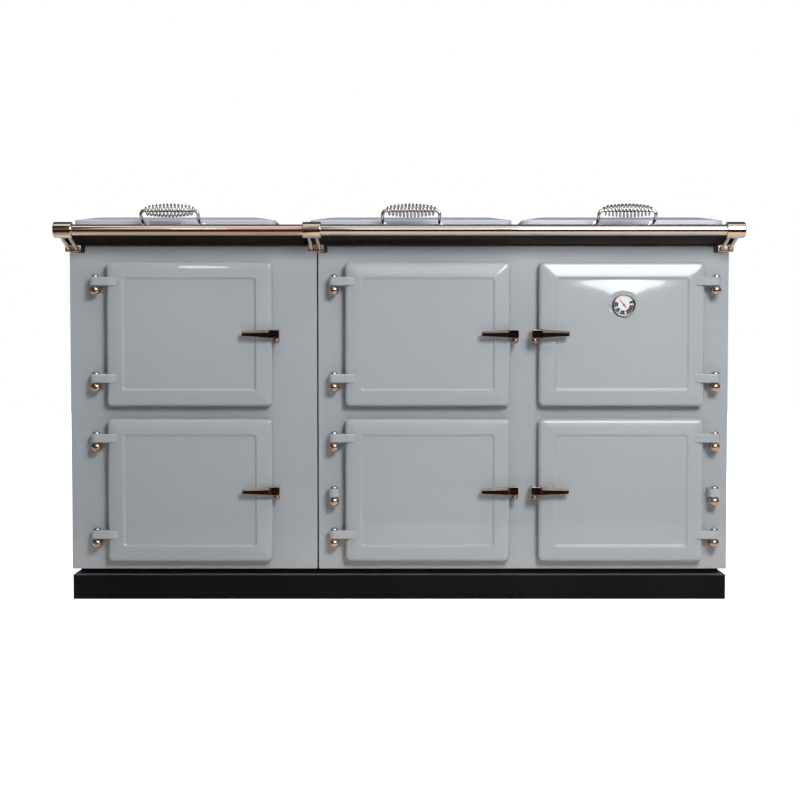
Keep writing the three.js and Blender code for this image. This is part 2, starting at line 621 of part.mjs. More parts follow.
// One lever: tapered bar, collar, neck forked round the tongue, end flange, pin and ball.
function latchLever() {
  const toFace = new THREE.Matrix4().makeBasis(
    new THREE.Vector3(0, 1, 0), new THREE.Vector3(0, 0, 1), new THREE.Vector3(1, 0, 0),
  );
  const lever = loft(LEVER_SECTIONS, 1).applyMatrix4(toFace);
  const slotHalf = LATCH_TONGUE_HALF + LATCH_SLOT_CLEARANCE;
  const slotR = LATCH_TONGUE_R + LATCH_SLOT_CLEARANCE;
  const round = bore(slotR, [0, -slotHalf, 0], [0, slotHalf, 0], 10);
  const behind = block(-LATCH_FORK_DEPTH, slotR, -slotHalf, slotHalf, -LATCH_FORK_DEPTH, 0);
  const beside = block(-LATCH_FORK_DEPTH, 0, -slotHalf, slotHalf, -1, LATCH_FORK_FRONT);
  const pin = cylinder(LATCH_PIN_R, [0, -LATCH_PIN_HALF, 0], [0, LATCH_PIN_HALF, 0]);
  const knob = ball(LATCH_BALL_R, 0, -LATCH_BALL_DROP, 0);
  return joined(carved(lever, round, behind, beside), pin, knob);
}

function gaugeCase() {
  const seat = recessFace() + GAUGE_BOSS + SEAT_GAP;
  const top = seat + GAUGE_HEIGHT;
  const dial = top - GAUGE_FACE_SINK;
  const bevel = GAUGE_BEVEL;
  const profile = [
    [0, -DOOR_PLUG_DEPTH - GAUGE_STEM_PROUD], [GAUGE_STEM_R, -DOOR_PLUG_DEPTH - GAUGE_STEM_PROUD],
    [GAUGE_STEM_R, seat], [GAUGE_R, seat], [GAUGE_R, top - bevel.height], [GAUGE_R - bevel.width, top],
    [GAUGE_FACE_R + 1, top], [GAUGE_FACE_R, dial], [1.5, dial], [1.5, dial + 1], [0, dial + 1],
  ];
  return lathe(profile, 16).rotateX(Math.PI / 2).translate(GAUGE_X, GAUGE_RISE, 0);
}

function gaugeNeedle() {
  const outline = new THREE.Shape();
  outline.moveTo(-NEEDLE_HALF, -NEEDLE_TAIL);
  outline.lineTo(NEEDLE_HALF, -NEEDLE_TAIL);
  outline.lineTo(NEEDLE_TIP_HALF, NEEDLE_LENGTH);
  outline.lineTo(-NEEDLE_TIP_HALF, NEEDLE_LENGTH);
  const hub = cylinder(NEEDLE_HUB_R, [0, 0, 0], [0, 0, 2 * NEEDLE_THICKNESS]);
  const lift = recessFace() + GAUGE_BOSS + GAUGE_HEIGHT - GAUGE_FACE_SINK + 1 + 2 * SEAT_GAP;
  return joined(extruded(outline, NEEDLE_THICKNESS), hub).rotateZ(NEEDLE_REST)
    .translate(GAUGE_X, GAUGE_RISE, lift);
}

// ---------------------------------------------------------------- lids and handles

function lidGeometry() {
  const [w, h] = [LID_WIDTH, LID_DEPTH];
  const inset = (amount, r, z) => ({ w: w - 2 * amount, h: h - 2 * amount, r, z });
  const dome = loft([
    inset(LID_RIM_WIDTH, LID_CORNER_R, LID_HOLLOW),
    inset(LID_RIM_WIDTH, LID_CORNER_R, SEAT_GAP),
    inset(1.5, LID_CORNER_R - 1.5, SEAT_GAP),
    inset(0, LID_CORNER_R, SEAT_GAP + 2),
    ...roundedShoulder(w, h, LID_CORNER_R, LID_RIM_HEIGHT - LID_EDGE_R, LID_EDGE_R, 2),
    inset(LID_BEVEL, LID_CORNER_R - 4, LID_HEIGHT - 0.6),
    inset(LID_BEVEL + 6, LID_CORNER_R - 6, LID_HEIGHT),
  ]).translate(0, LID_FRONT + LID_DEPTH / 2, HOB_HEIGHT);
  const lugs = [-1, 1].flatMap((side) => {
    const lugX = side * (LID_EAR_OFFSET + (LID_EAR_WIDTH + LID_LUG_WIDTH) / 2 + 2 * SEAT_GAP);
    const { y, z } = lidAxis();
    const outline = new THREE.Shape();
    outline.moveTo(-LID_AXIS_BACK - LID_LUG_SINK, -LID_LUG_R);
    outline.lineTo(0, -LID_LUG_R);
    outline.absarc(0, 0, LID_LUG_R, -Math.PI / 2, Math.PI / 2, false);
    outline.lineTo(-LID_AXIS_BACK - LID_LUG_SINK, LID_LUG_R);
    const tip = side * (LID_EAR_OFFSET - LID_EAR_WIDTH / 2 - 2);
    return [uprightPlate(lugX, LID_LUG_WIDTH, outline), cylinder(TRUNNION_R, [lugX, y, z], [tip, y, z])];
  });
  return joined(dome, ...lugs);
}

function handleBar() {
  const half = HANDLE_LEG_SPACING / 2;
  const face = LID_FRONT - SEAT_GAP;
  const grip = { y: LID_FRONT - HANDLE_REACH, z: HOB_HEIGHT + HANDLE_GRIP_RISE };
  const footZ = HOB_HEIGHT + HANDLE_FOOT_RISE;
  const bend = HANDLE_BEND.map(([inward, back, down]) => [half - inward, grip.y + back, grip.z - down]);
  const leg = [[half, face, footZ], [half, face - HANDLE_RUN, footZ + 1], ...bend,
    [half * HANDLE_GRIP_TURN, grip.y, grip.z]];
  const route = [...leg, ...leg.map(([x, y, z]) => [-x, y, z]).reverse()];
  const points = route.map((point) => new THREE.Vector3(...point));
  const curve = new THREE.CatmullRomCurve3(points, false, 'centripetal');
  const section = new THREE.Shape().absarc(0, 0, HANDLE_BAR_R, 0, 2 * Math.PI, false);
  const bar = extruded(section, 0, { steps: 24, extrudePath: curve });
  const collars = [-half, half].map((x) => cylinder(
    HANDLE_COLLAR_R, [x, face, footZ], [x, face - HANDLE_COLLAR, footZ],
  ));
  return joined(bar, ...collars);
}

// Radius of the coil along its length, 0 at one end to 1 at the other: a barrel whose last
// turns draw in until the wire lies on the bar.
function coilRadius(share) {
  const barrel = COIL_END_R + (COIL_MIDDLE_R - COIL_END_R) * Math.sin(Math.PI * share);
  const seat = HANDLE_BAR_R + SEAT_GAP + COIL_WIRE_R + 0.15;
  const turnsIn = Math.min(share, 1 - share) * COIL_TURNS;
  return THREE.MathUtils.lerp(seat, barrel, THREE.MathUtils.smoothstep(turnsIn, 0, COIL_SEAT_TURNS));
}

function coilPoint(share) {
  const angle = 2 * Math.PI * COIL_TURNS * share;
  const radius = coilRadius(share);
  return new THREE.Vector3((share - 0.5) * COIL_LENGTH, radius * Math.cos(angle), radius * Math.sin(angle));
}

function handleCoil() {
  const steps = Math.round(COIL_TURNS * COIL_STEPS_PER_TURN);
  const points = [];
  for (let i = 0; i <= steps; i += 1) {
    const share = i / steps;
    const centre = coilPoint(share);
    const outward = new THREE.Vector3(0, centre.y, centre.z).normalize();
    const along = coilPoint(share + 1e-4).sub(coilPoint(share - 1e-4)).normalize();
    const across = along.clone().cross(outward).normalize();
    const up = across.clone().cross(along).normalize();
    for (let side = 0; side < COIL_SIDES; side += 1) {
      const angle = 2 * Math.PI * side / COIL_SIDES;
      points.push(centre.clone().addScaledVector(up, COIL_WIRE_R * Math.cos(angle))
        .addScaledVector(across, COIL_WIRE_R * Math.sin(angle)));
    }
  }
  const corners = [];
  for (let side = 0; side < COIL_SIDES; side += 1) {
    const next = (side + 1) % COIL_SIDES;
    for (let i = 0; i < steps; i += 1) {
      const [a, b] = [i * COIL_SIDES + side, i * COIL_SIDES + next];
      corners.push(a, b, b + COIL_SIDES, a, b + COIL_SIDES, a + COIL_SIDES);
    }
    if (side > 0 && next > 0) {
      corners.push(0, next, side);
      corners.push(steps * COIL_SIDES, steps * COIL_SIDES + side, steps * COIL_SIDES + next);
    }
  }
  const geometry = new THREE.BufferGeometry().setFromPoints(points);
  geometry.setIndex(corners);
  geometry.computeVertexNormals();
  return geometry.translate(0, LID_FRONT - HANDLE_REACH, HOB_HEIGHT + HANDLE_GRIP_RISE);
}

// Least gap between the wire and itself, measured between points at least half a turn apart.
function coilGap() {
  const perTurn = 48;
  const count = Math.round(COIL_TURNS * perTurn);
  const points = Array.from({ length: count + 1 }, (_, i) => coilPoint(i / count));
  let least = Infinity;
  for (let i = 0; i <= count; i += 1) {
    for (let j = i + perTurn / 2; j <= count; j += 1) {
      least = Math.min(least, points[i].distanceTo(points[j]));
    }
  }
  return least - 2 * COIL_WIRE_R;
}

// ---------------------------------------------------------------- towel rail

const barrelCentres = () => [
  { name: 'left', x: LEFT_EDGE + BARREL_INSET, shift: FOOT_SHIFT, sockets: [1] },
  { name: 'middle', x: MIDDLE_BARREL_X, shift: FOOT_SHIFT, sockets: [-1, 1] },
  { name: 'right', x: RIGHT_EDGE - BARREL_INSET, shift: -FOOT_SHIFT, sockets: [-1] },
];

function bracket({ x, shift, sockets }) {
  const half = BARREL_LENGTH / 2;
  const turned = lathe([
    [0, -half], [BARREL_R - BARREL_EDGE_R, -half], [BARREL_R, BARREL_EDGE_R - half],
    [BARREL_R, half - BARREL_EDGE_R], [BARREL_R - BARREL_EDGE_R, half], [0, half],
  ], 16).rotateZ(-Math.PI / 2);
  const bores = sockets.map((side) => bore(
    RAIL_R + SOCKET_CLEARANCE, [side * (half - SOCKET_DEPTH), 0, 0], [side * (half + 1), 0, 0], 16,
  ));
  const barrel = carved(turned, ...bores).translate(x, -RAIL_STANDOFF, RAIL_Z);
  const footX = x + shift;
  const struts = [-0.5, 0.5].flatMap((side) => {
    const startY = -RAIL_STANDOFF + BARREL_R - STRUT_SINK_BACK;
    const start = [x + side * STRUT_SPACING, startY, RAIL_Z - BARREL_R + STRUT_SINK_LOW];
    const endY = -SEAT_GAP - FOOT_THICKNESS - STRUT_FOOT_GAP;
    const end = [footX + side * STRUT_SPACING, endY, FOOT_Z - STRUT_FOOT_GAP];
    return [cylinder(STRUT_R, start, end), ball(STRUT_BALL_R, ...end)];
  });
  const foot = block(footX - FOOT_WIDTH / 2, footX + FOOT_WIDTH / 2, -SEAT_GAP - FOOT_THICKNESS, -SEAT_GAP,
    FOOT_Z - FOOT_HEIGHT / 2, FOOT_Z + FOOT_HEIGHT / 2);
  return joined(barrel, ...struts, foot);
}

function rail(from, to) {
  const reach = BARREL_LENGTH / 2 - SOCKET_DEPTH + SEAT_GAP;
  return cylinder(RAIL_R, [from + reach, -RAIL_STANDOFF, RAIL_Z], [to - reach, -RAIL_STANDOFF, RAIL_Z], 16);
}

// ---------------------------------------------------------------- assembly

const cooker = new THREE.Group();

function place(parent, name, geometry, material, position = [0, 0, 0]) {
  const mesh = new THREE.Mesh(geometry, material);
  mesh.name = name;
  mesh.position.set(...position);
  parent.add(mesh);
}

// A group whose x is right, y up and z outward from the face of the front plates.
function faceGroup(x, z) {
  const group = new THREE.Group();
  group.position.set(x, 0, z);
  group.rotation.x = Math.PI / 2;
  cooker.add(group);
  return group;
}

function addBody() {
  place(cooker, 'plinth', plinth(), BLACK_ENAMEL);
  const knuckles = DOORS.filter((door) => door.name.endsWith('lower') && door.column !== 'left')
    .map((door) => ({ column: door.column, x: door.x - door.side * (DOOR_WIDTH / 2 + PIN_OUTSET) }));
  const modules = { left: LEFT_MODULE, right: RIGHT_MODULE };
  for (const [name, module] of Object.entries(modules)) {
    place(cooker, `${name}_casing`, casing(module), GREY_ENAMEL);
    place(cooker, `${name}_back_panel`, backPanel(module), GALVANISED);
    const lugs = knuckles.filter(({ x }) => x > module.x0 && x < module.x1)
      .map(({ x }) => spareKnuckle().translate(x, SPARE_KNUCKLE_Z, PIN_STANDOFF));
    place(faceGroup(0, 0), `${name}_front_plate`, joined(frontPlate(module), ...lugs), GREY_ENAMEL);
  }
  for (const { column, x } of knuckles) {
    const face = faceGroup(x, SPARE_KNUCKLE_Z);
    place(face, `${column}_spare_hinge_pin`, hingePin(), POLISHED, [0, 0, PIN_STANDOFF]);
  }
}

function addHobs() {
  const [leftLid, ...rightLids] = LIDS;
  place(cooker, 'left_hob_top', hob(LEFT_EDGE - HOB_SIDE_LAP, HOB_SEAM - HOB_JOINT, [leftLid]), BLACK_ENAMEL);
  place(cooker, 'right_hob_top', hob(HOB_SEAM, RIGHT_EDGE + HOB_SIDE_LAP, rightLids), BLACK_ENAMEL);
  for (const { name, x } of LIDS) {
    place(cooker, `${name}_hotplate`, hotplateSolid(0, HOTPLATE_SINK, HOTPLATE_PROUD), RAW_IRON,
      [x, hotplateY(), 0]);
    place(cooker, `${name}_lid`, lidGeometry(), GREY_ENAMEL, [x, 0, 0]);
    place(cooker, `${name}_lid_handle`, handleBar(), CHROME, [x, 0, 0]);
    place(cooker, `${name}_handle_coil`, handleCoil(), CHROME, [x, 0, 0]);
  }
}

function addDoor(door) {
  const face = faceGroup(door.x, door.z);
  const handed = (geometry) => (door.side > 0 ? geometry : mirrored(geometry));
  place(cooker, `${door.name}_oven_liner`, ovenLiner(door), OVEN_IRON);
  place(face, `${door.name}_door`, doorGeometry(door), GREY_ENAMEL);
  for (const [end, height] of Object.entries(HINGE_HEIGHTS)) {
    const x = -door.side * (DOOR_WIDTH / 2 + PIN_OUTSET);
    place(face, `${door.name}_hinge_pin_${end}`, hingePin(), POLISHED, [x, height, PIN_STANDOFF]);
  }
  const latchX = door.side * (DOOR_WIDTH / 2 + LATCH_PIN_OUTSET);
  place(face, `${door.name}_latch`, handed(latchLever()), POLISHED, [latchX, 0, LATCH_PIN_STANDOFF]);
  if (withGauge(door)) {
    place(face, 'thermometer_case', gaugeCase(), DIAL_WHITE);
    place(face, 'thermometer_needle', gaugeNeedle(), NEEDLE_RED);
  }
}

function addRails() {
  const barrels = barrelCentres();
  for (const barrel of barrels) place(cooker, `${barrel.name}_rail_bracket`, bracket(barrel), POLISHED);
  for (const [i, name] of ['left', 'right'].entries()) {
    place(cooker, `${name}_rail`, rail(barrels[i].x, barrels[i + 1].x), RAIL_STEEL);
  }
}

addBody();
addHobs();
DOORS.forEach(addDoor);
addRails();
console.log(`least gap of the handle coil to itself: ${coilGap().toFixed(2)} mm`);

// The footprint's middle becomes the origin: the rail reaches furthest forward.
cooker.position.y = (RAIL_STANDOFF + BARREL_R - BODY_DEPTH) / 2;

export default cooker;
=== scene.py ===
"""Studio picture of a cast iron range cooker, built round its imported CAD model.

Sizes of pieces are in millimetres, as on a maker's drawing. Meshes are written in metres, in the
frame of the CAD model: x to the right, y to the back, z up, with the floor at z = 0.
"""

import logging
import math
from collections.abc import Iterable, Sequence
from dataclasses import dataclass, field, replace
from enum import Enum

import bmesh
import bpy
from mathutils import Euler, Matrix, Vector


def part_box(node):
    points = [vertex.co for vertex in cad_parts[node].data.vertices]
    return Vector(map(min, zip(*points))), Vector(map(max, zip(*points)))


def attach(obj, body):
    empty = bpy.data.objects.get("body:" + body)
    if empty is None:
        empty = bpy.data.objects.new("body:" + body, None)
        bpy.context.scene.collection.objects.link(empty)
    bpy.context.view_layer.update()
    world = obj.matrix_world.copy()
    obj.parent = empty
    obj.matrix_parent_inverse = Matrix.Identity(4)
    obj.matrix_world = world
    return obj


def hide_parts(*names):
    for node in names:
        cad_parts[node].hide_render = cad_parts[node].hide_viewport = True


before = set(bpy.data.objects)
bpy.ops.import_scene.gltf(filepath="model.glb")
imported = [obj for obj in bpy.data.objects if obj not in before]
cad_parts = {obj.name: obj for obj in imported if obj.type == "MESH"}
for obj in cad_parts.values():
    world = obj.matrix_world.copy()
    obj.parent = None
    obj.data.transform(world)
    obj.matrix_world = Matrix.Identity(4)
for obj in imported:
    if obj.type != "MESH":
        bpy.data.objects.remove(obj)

LOG = logging.getLogger("range_cooker")
MM = 0.001
HOB_HEIGHT = 900.0
HOB_THICKNESS = 29.0
PIN_OUTSET = 27.0  # from a door's edge to the axis of its pins
SPARE_HEIGHT = 266.0  # of the two knuckles that no door hangs on
GAUGE_SPOT = (3.0, 70.5)  # right of and above the middle of its door
LID_AXIS = (512.0, 14.0)  # back from the front plates and up from the hob
COLUMNS = ("left", "middle", "right")
FACE_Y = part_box("plinth")[0].y / MM  # the plane of the front plates
UPRIGHT = Matrix.Rotation(math.radians(-90), 4, "X")
ALONG_X = Matrix.Rotation(math.radians(90), 4, "Y")
EDGEWISE = Matrix(((0, 0, 1, 0), (1, 0, 0, 0), (0, 1, 0, 0), (0, 0, 0, 1)))

Point = tuple[float, float]
Tone = tuple[int, int, int]
Place = tuple[float, float, float]
Ring = list[Vector]
Faces = list[tuple[int, ...]]
Value = "Link | float | tuple[float, ...] | Vector"


class Slot(Enum):
    """The record's material slots."""

    GREY_ENAMEL = "grey_enamel"
    BLACK_ENAMEL = "black_enamel"
    FITTINGS = "polished_fittings"
    RAIL = "polished_rail"
    CHROME = "chrome"
    IRON = "machined_iron"
    OVEN = "oven_enamel"
    SHEET = "galvanised_sheet"
    DIAL = "dial_and_bezel"
    NEEDLE = "needle_red"


class Level(Enum):
    """The two rows of doors."""

    UPPER = "upper"
    LOWER = "lower"


# ---------------------------------------------------------------- node trees


class Link:
    """A node's output that Python's operators work on."""

    def __init__(self, graph: "Graph", socket: bpy.types.NodeSocket) -> None:
        """Wraps one output socket of a graph."""
        self.graph = graph
        self.socket = socket

    def _maths(self, operation: str, first: Value, second: Value) -> "Link":
        """Adds a Math node for one operation on two values."""
        return self.graph.node("ShaderNodeMath", {0: first, 1: second}, operation=operation)

    def __add__(self, other: Value) -> "Link":
        """Sum with a value on the right."""
        return self._maths("ADD", self, other)

    def __radd__(self, other: Value) -> "Link":
        """Sum with a value on the left."""
        return self._maths("ADD", other, self)

    def __sub__(self, other: Value) -> "Link":
        """Difference, less a value on the right."""
        return self._maths("SUBTRACT", self, other)

    def __rsub__(self, other: Value) -> "Link":
        """Difference, from a value on the left."""
        return self._maths("SUBTRACT", other, self)

    def __mul__(self, other: Value) -> "Link":
        """Product with a value on the right."""
        return self._maths("MULTIPLY", self, other)

    def __truediv__(self, other: Value) -> "Link":
        """Quotient by a value on the right."""
        return self._maths("DIVIDE", self, other)

    def minimum(self, other: Value) -> "Link":
        """The lesser of two values."""
        return self._maths("MINIMUM", self, other)

    def sine(self) -> "Link":
        """The sine of an angle in radians."""
        return self._maths("SINE", self, 0.0)

    def cosine(self) -> "Link":
        """The cosine of an angle in radians."""
        return self._maths("COSINE", self, 0.0)


class Graph:
    """A node tree that is written as expressions."""

    def __init__(self, tree: bpy.types.NodeTree) -> None:
        """Starts on a tree with no nodes left in it."""
        self.tree = tree
        tree.nodes.clear()

    def node(
        self,
        kind: str,
        values: dict[int | str, Value] | None = None,
        out: int | str = 0,
        **settings: object,
    ) -> Link:
        """Adds a node.

        Args:
            kind: The node's type.
            values: A value or a link for each named or numbered input.
            out: Which output to return.
            settings: The node's own settings, which are made first.

        Returns:
            The chosen output.
        """
        made = self.tree.nodes.new(kind)
        for key, value in settings.items():
            setattr(made, key, value)
        for key, value in (values or {}).items():
            if isinstance(value, Link):
                self.tree.links.new(value.socket, made.inputs[key])
            else:
                made.inputs[key].default_value = value
        outputs = made.outputs
        return Link(self, outputs[out] if len(outputs) else None)

    def mix(self, share: Value, first: Value, second: Value) -> Link:
        """Blends two colours by a share from 0 to 1."""
        return self.node(
            "ShaderNodeMix", {0: share, 6: first, 7: second}, out=2, data_type="RGBA", clamp_factor=True
        )

    def noise(
        self, where: Link, scale: float, detail: float = 2.0, stretch: Sequence[float] = (1, 1, 1)
    ) -> Link:
        """Soft noise from 0 to 1, finer along the axes that are stretched more."""
        placed = self.node("ShaderNodeMapping", {"Vector": where, "Scale": tuple(stretch)})
        return self.node("ShaderNodeTexNoise", {"Vector": placed, "Scale": scale, "Detail": detail})

    def vector(self, x: Value = 0.0, y: Value = 0.0, z: Value = 0.0) -> Link:
        """Joins three values."""
        return self.node("ShaderNodeCombineXYZ", {"X": x, "Y": y, "Z": z})

    def spread(self, value: Link, low: Value, high: Value) -> Link:
        """Maps low..high to 0..1 with soft ends."""
        return self.node(
            "ShaderNodeMapRange",
            {"Value": value, "From Min": low, "From Max": high},
            interpolation_type="SMOOTHSTEP",
        )


# ---------------------------------------------------------------- finishes


def colour_of(red: int, green: int, blue: int) -> tuple[float, float, float, float]:
    """A display colour, 0 to 255 in each channel, as the linear colour that a shader takes."""
    shares = [channel / 255 for channel in (red, green, blue)]
    linear = [c / 12.92 if c < 0.0404 else ((c + 0.055) / 1.055) ** 2.4 for c in shares]
    return (*linear, 1.0)


@dataclass(frozen=True)
class Finish:
    """A surface's look: a base tone that drifts, a gloss that drifts and a fine relief.

    Waves and grain are the heights of the slow and the fine relief, in metres.
    """

    name: str
    tone: Tone
    dark: Tone
    roughness: float
    metallic: float = 0.0
    coat: float = 0.0
    coat_roughness: float = 0.03
    specular: float = 0.5
    drift_scale: float = 3.0
    waves: float = 0.0
    wave_scale: float = 25.0
    grain: float = 0.0
    grain_scale: float = 300.0
    grain_stretch: tuple[float, float, float] = (1.0, 1.0, 1.0)
    gloss_drift: float = 0.05

    def colour(self, graph: Graph, where: Link) -> Link:
        """The drifting base colour."""
        drift = graph.spread(graph.noise(where, self.drift_scale), 0.3, 0.7)
        return graph.mix(drift, colour_of(*self.dark), colour_of(*self.tone))

    def relief(self, graph: Graph, where: Link) -> Link:
        """Height of the surface's own relief, in metres."""
        slow = graph.noise(where, self.wave_scale, 1.0)
        fine = graph.noise(where, self.grain_scale, 2.0, self.grain_stretch)
        return slow * self.waves + fine * self.grain

    def gloss(self, graph: Graph, where: Link) -> Link:
        """The drifting roughness."""
        patchy = graph.noise(where, self.drift_scale * 9, 3.0, self.grain_stretch)
        return self.roughness + (patchy - 0.5) * self.gloss_drift

    def material(self) -> bpy.types.Material:
        """Makes the finish's material."""
        made = bpy.data.materials.new(self.name)
        made.use_nodes = True
        graph = Graph(made.node_tree)
        where = graph.node("ShaderNodeTexCoord", out="Object")
        bump = {"Height": self.relief(graph, where), "Distance": 1.0, "Strength": 1.0}
        normal = graph.node("ShaderNodeBump", bump)
        shader = graph.node(
            "ShaderNodeBsdfPrincipled",
            {
                "Base Color": self.colour(graph, where),
                "Roughness": self.gloss(graph, where),
                "Metallic": self.metallic,
                "Normal": normal,
                "Coat Weight": self.coat,
                "Coat Roughness": self.coat_roughness,
                "Specular IOR Level": self.specular,
            },
        )
        graph.node("ShaderNodeOutputMaterial", {"Surface": shader})
        made.diffuse_color = colour_of(*self.tone)
        made.roughness, made.metallic = self.roughness, self.metallic
        return made


@dataclass(frozen=True)
class SpeckledEnamel(Finish):
    """Oven enamel: dark, with a fine scatter of pale flecks."""

    fleck: Tone = (118, 120, 124)

    def colour(self, graph: Graph, where: Link) -> Link:
        """Flecks over the drifting base colour."""
        ground = super().colour(graph, where)
        cells = graph.node("ShaderNodeTexVoronoi", {"Vector": where, "Scale": 420.0})
        flecks = 1.0 - graph.spread(cells, 0.08, 0.16)
        return graph.mix(flecks, ground, colour_of(*self.fleck))


@dataclass(frozen=True)
class SpangledSheet(Finish):
    """Galvanised sheet with its crystal spangle."""

    def colour(self, graph: Graph, where: Link) -> Link:
        """Each crystal a little lighter or darker."""
        cells = graph.node("ShaderNodeTexVoronoi", {"Vector": where, "Scale": 70.0}, out="Color")
        tint = graph.node("ShaderNodeSeparateColor", {0: cells})
        return graph.mix(tint, colour_of(*self.dark), colour_of(*self.tone))


@dataclass(frozen=True)
class TurnedIron(Finish):
    """Iron faced on a lathe: fine rings round a plate's middle, whose x and y are in metres."""

    centre: tuple[float, float] = (0.0, 0.0)

    def relief(self, graph: Graph, where: Link) -> Link:
        """Tool marks in rings round the plate's middle."""
        placed = graph.node(
            "ShaderNodeMapping", {"Vector": where, "Location": (-self.centre[0], -self.centre[1], 0.0)}
        )
        rings = graph.node(
            "ShaderNodeTexWave", {"Vector": placed, "Scale": 160.0, "Distortion": 0.3},
            wave_type="RINGS", rings_direction="Z",
        )
        return rings * self.waves + graph.noise(where, self.grain_scale) * self.grain


@dataclass(frozen=True)
class TintedRail(Finish):
    """Polished tube whose tint warms from one end to the other, in metres along x."""

    warm: Tone = (235, 190, 165)
    start: float = 0.0
    end: float = 1.0

    def colour(self, graph: Graph, where: Link) -> Link:
        """The drifting tone, warmer towards one end."""
        ground = super().colour(graph, where)
        along = graph.node("ShaderNodeSeparateXYZ", {0: where})
        return graph.mix(graph.spread(along, self.start, self.end), ground, colour_of(*self.warm))


@dataclass(frozen=True)
class EdgeHighlightEnamel(Finish):
    """Enamel with a paler band painted along a top edge as a painted highlight, at a height in metres."""

    top: float = 0.061
    depth: float = 0.0018
    pale: Tone = (92, 92, 94)

    def colour(self, graph: Graph, where: Link) -> Link:
        """The drifting tone with its painted highlight along the top edge."""
        height = graph.node("ShaderNodeSeparateXYZ", {0: where}, out="Z")
        # painted highlight: a pale band just under the top edge, where the edge would catch the light
        rim = graph.spread(height, self.top - self.depth, self.top - self.depth / 2)
        above = 1.0 - graph.spread(height, self.top, self.top + self.depth / 4)
        return graph.mix(rim * above, super().colour(graph, where), colour_of(*self.pale))


@dataclass(frozen=True)
class CappedMetal(Finish):
    """Metal with a cap of another tone, where the mesh's own mark called "cap" is 1."""

    cap: Tone = (206, 208, 212)

    def colour(self, graph: Graph, where: Link) -> Link:
        """The drifting tone and the cap's."""
        capped = graph.node("ShaderNodeAttribute", out="Fac", attribute_name="cap")
        return graph.mix(capped, super().colour(graph, where), colour_of(*self.cap))


class Paints:
    """Every finish's material, made once and shared."""

    def __init__(self) -> None:
        """Starts with no material made."""
        self._made: dict[str, bpy.types.Material] = {}

    def __call__(self, finish: Finish) -> bpy.types.Material:
        """The material of a finish."""
        if finish.name not in self._made:
            self._made[finish.name] = finish.material()
        return self._made[finish.name]


GREY_ENAMEL = Finish(
    "grey_vitreous_enamel", (163, 168, 172), (157, 162, 167), roughness=0.16, coat=0.9, coat_roughness=0.02,
    specular=0.25, drift_scale=1.4, waves=0.00010, wave_scale=26, grain=0.000003, grain_scale=240,
    gloss_drift=0.04,
)
# The lids' enamel is the grey enamel painted lighter and bluer: painted light standing in for the extra
# light from above that the lids catch.
LIT_LID_ENAMEL = replace(
    GREY_ENAMEL, name="pale_lid_enamel", tone=(184, 188, 197), dark=(178, 183, 192), roughness=0.2,
    coat=0.3,
)
BLACK_ENAMEL = Finish(
    "black_vitreous_enamel", (26, 23, 22), (19, 17, 16), roughness=0.34, coat=0.25, coat_roughness=0.1,
    specular=0.14, drift_scale=4, waves=0.00005, wave_scale=30, grain=0.000006, grain_scale=500,
)
# The plinth's enamel, with a painted highlight along the top edge of its face
PLINTH_ENAMEL = EdgeHighlightEnamel(
    "black_plinth_enamel", (19, 19, 20), (14, 14, 15), roughness=0.42, specular=0.08, drift_scale=4,
    waves=0.00005, wave_scale=30, grain=0.000006, grain_scale=500,
)
OVEN_ENAMEL = SpeckledEnamel(
    "speckled_oven_enamel", (44, 45, 48), (34, 35, 37), roughness=0.38, coat=0.2, coat_roughness=0.1,
    waves=0.00006, wave_scale=40, grain=0.00001, grain_scale=400,
)
FITTINGS = Finish(
    "polished_warm_nickel", (240, 226, 212), (228, 210, 194), roughness=0.09, metallic=1.0, drift_scale=20,
    grain=0.0000012, grain_scale=900, gloss_drift=0.06,
)
# The latches' nickel is the fittings' nickel painted darker, as painted shade for the dark reflections on
# the levers.
LATCH_METAL = replace(
    FITTINGS, name="dark_latch_nickel", tone=(178, 164, 154), dark=(152, 138, 128), roughness=0.08,
)
# The pins' nickel is darker and warmer than the fittings', as painted shade for the dark reflections on the
# balls; the dome's cap is a second, cooler tone.
PIN_METAL = CappedMetal(
    "warm_pin_nickel", (218, 196, 178), (200, 176, 156), roughness=0.07, metallic=1.0, drift_scale=20,
    grain=0.0000012, grain_scale=900, gloss_drift=0.04,
)
BRONZE = Finish(
    "polished_bronze", (186, 150, 124), (150, 116, 94), roughness=0.13, metallic=1.0, drift_scale=30,
    grain=0.0000015, grain_scale=900, gloss_drift=0.06,
)
CHROME = Finish(
    "bright_chrome", (236, 238, 241), (226, 229, 233), roughness=0.05, metallic=1.0, drift_scale=25,
    grain=0.0000008, grain_scale=900, gloss_drift=0.03,
)
# The thermometer's chrome painted darker: painted shade standing in for the darker reflections on its case.
GAUGE_METAL = replace(
    CHROME, name="smoked_gauge_chrome", tone=(176, 180, 186), dark=(150, 154, 160), roughness=0.08,
)
RAIL_METAL = Finish(
    "polished_rail_steel", (228, 221, 215), (220, 213, 206), roughness=0.07, metallic=1.0, drift_scale=6,
    grain=0.0000012, grain_scale=700, grain_stretch=(0.05, 1, 1),
)
COPPERY_RAIL_METAL = TintedRail(
    "polished_rail_copper_cast", (244, 229, 216), (236, 219, 204), roughness=0.07, metallic=1.0,
    drift_scale=6, grain=0.0000012, grain_scale=700, grain_stretch=(0.05, 1, 1), warm=(238, 212, 198),
    start=-0.62, end=-0.3,
)
GALVANISED = SpangledSheet(
    "galvanised_sheet", (168, 172, 174), (134, 139, 142), roughness=0.42, metallic=0.85,
    grain=0.000004, grain_scale=300, gloss_drift=0.12,
)
ROPE = Finish(
    "woven_glass_rope", (86, 84, 80), (58, 57, 55), roughness=0.85, drift_scale=120, grain=0.00018,
    grain_scale=900, gloss_drift=0.08,
)
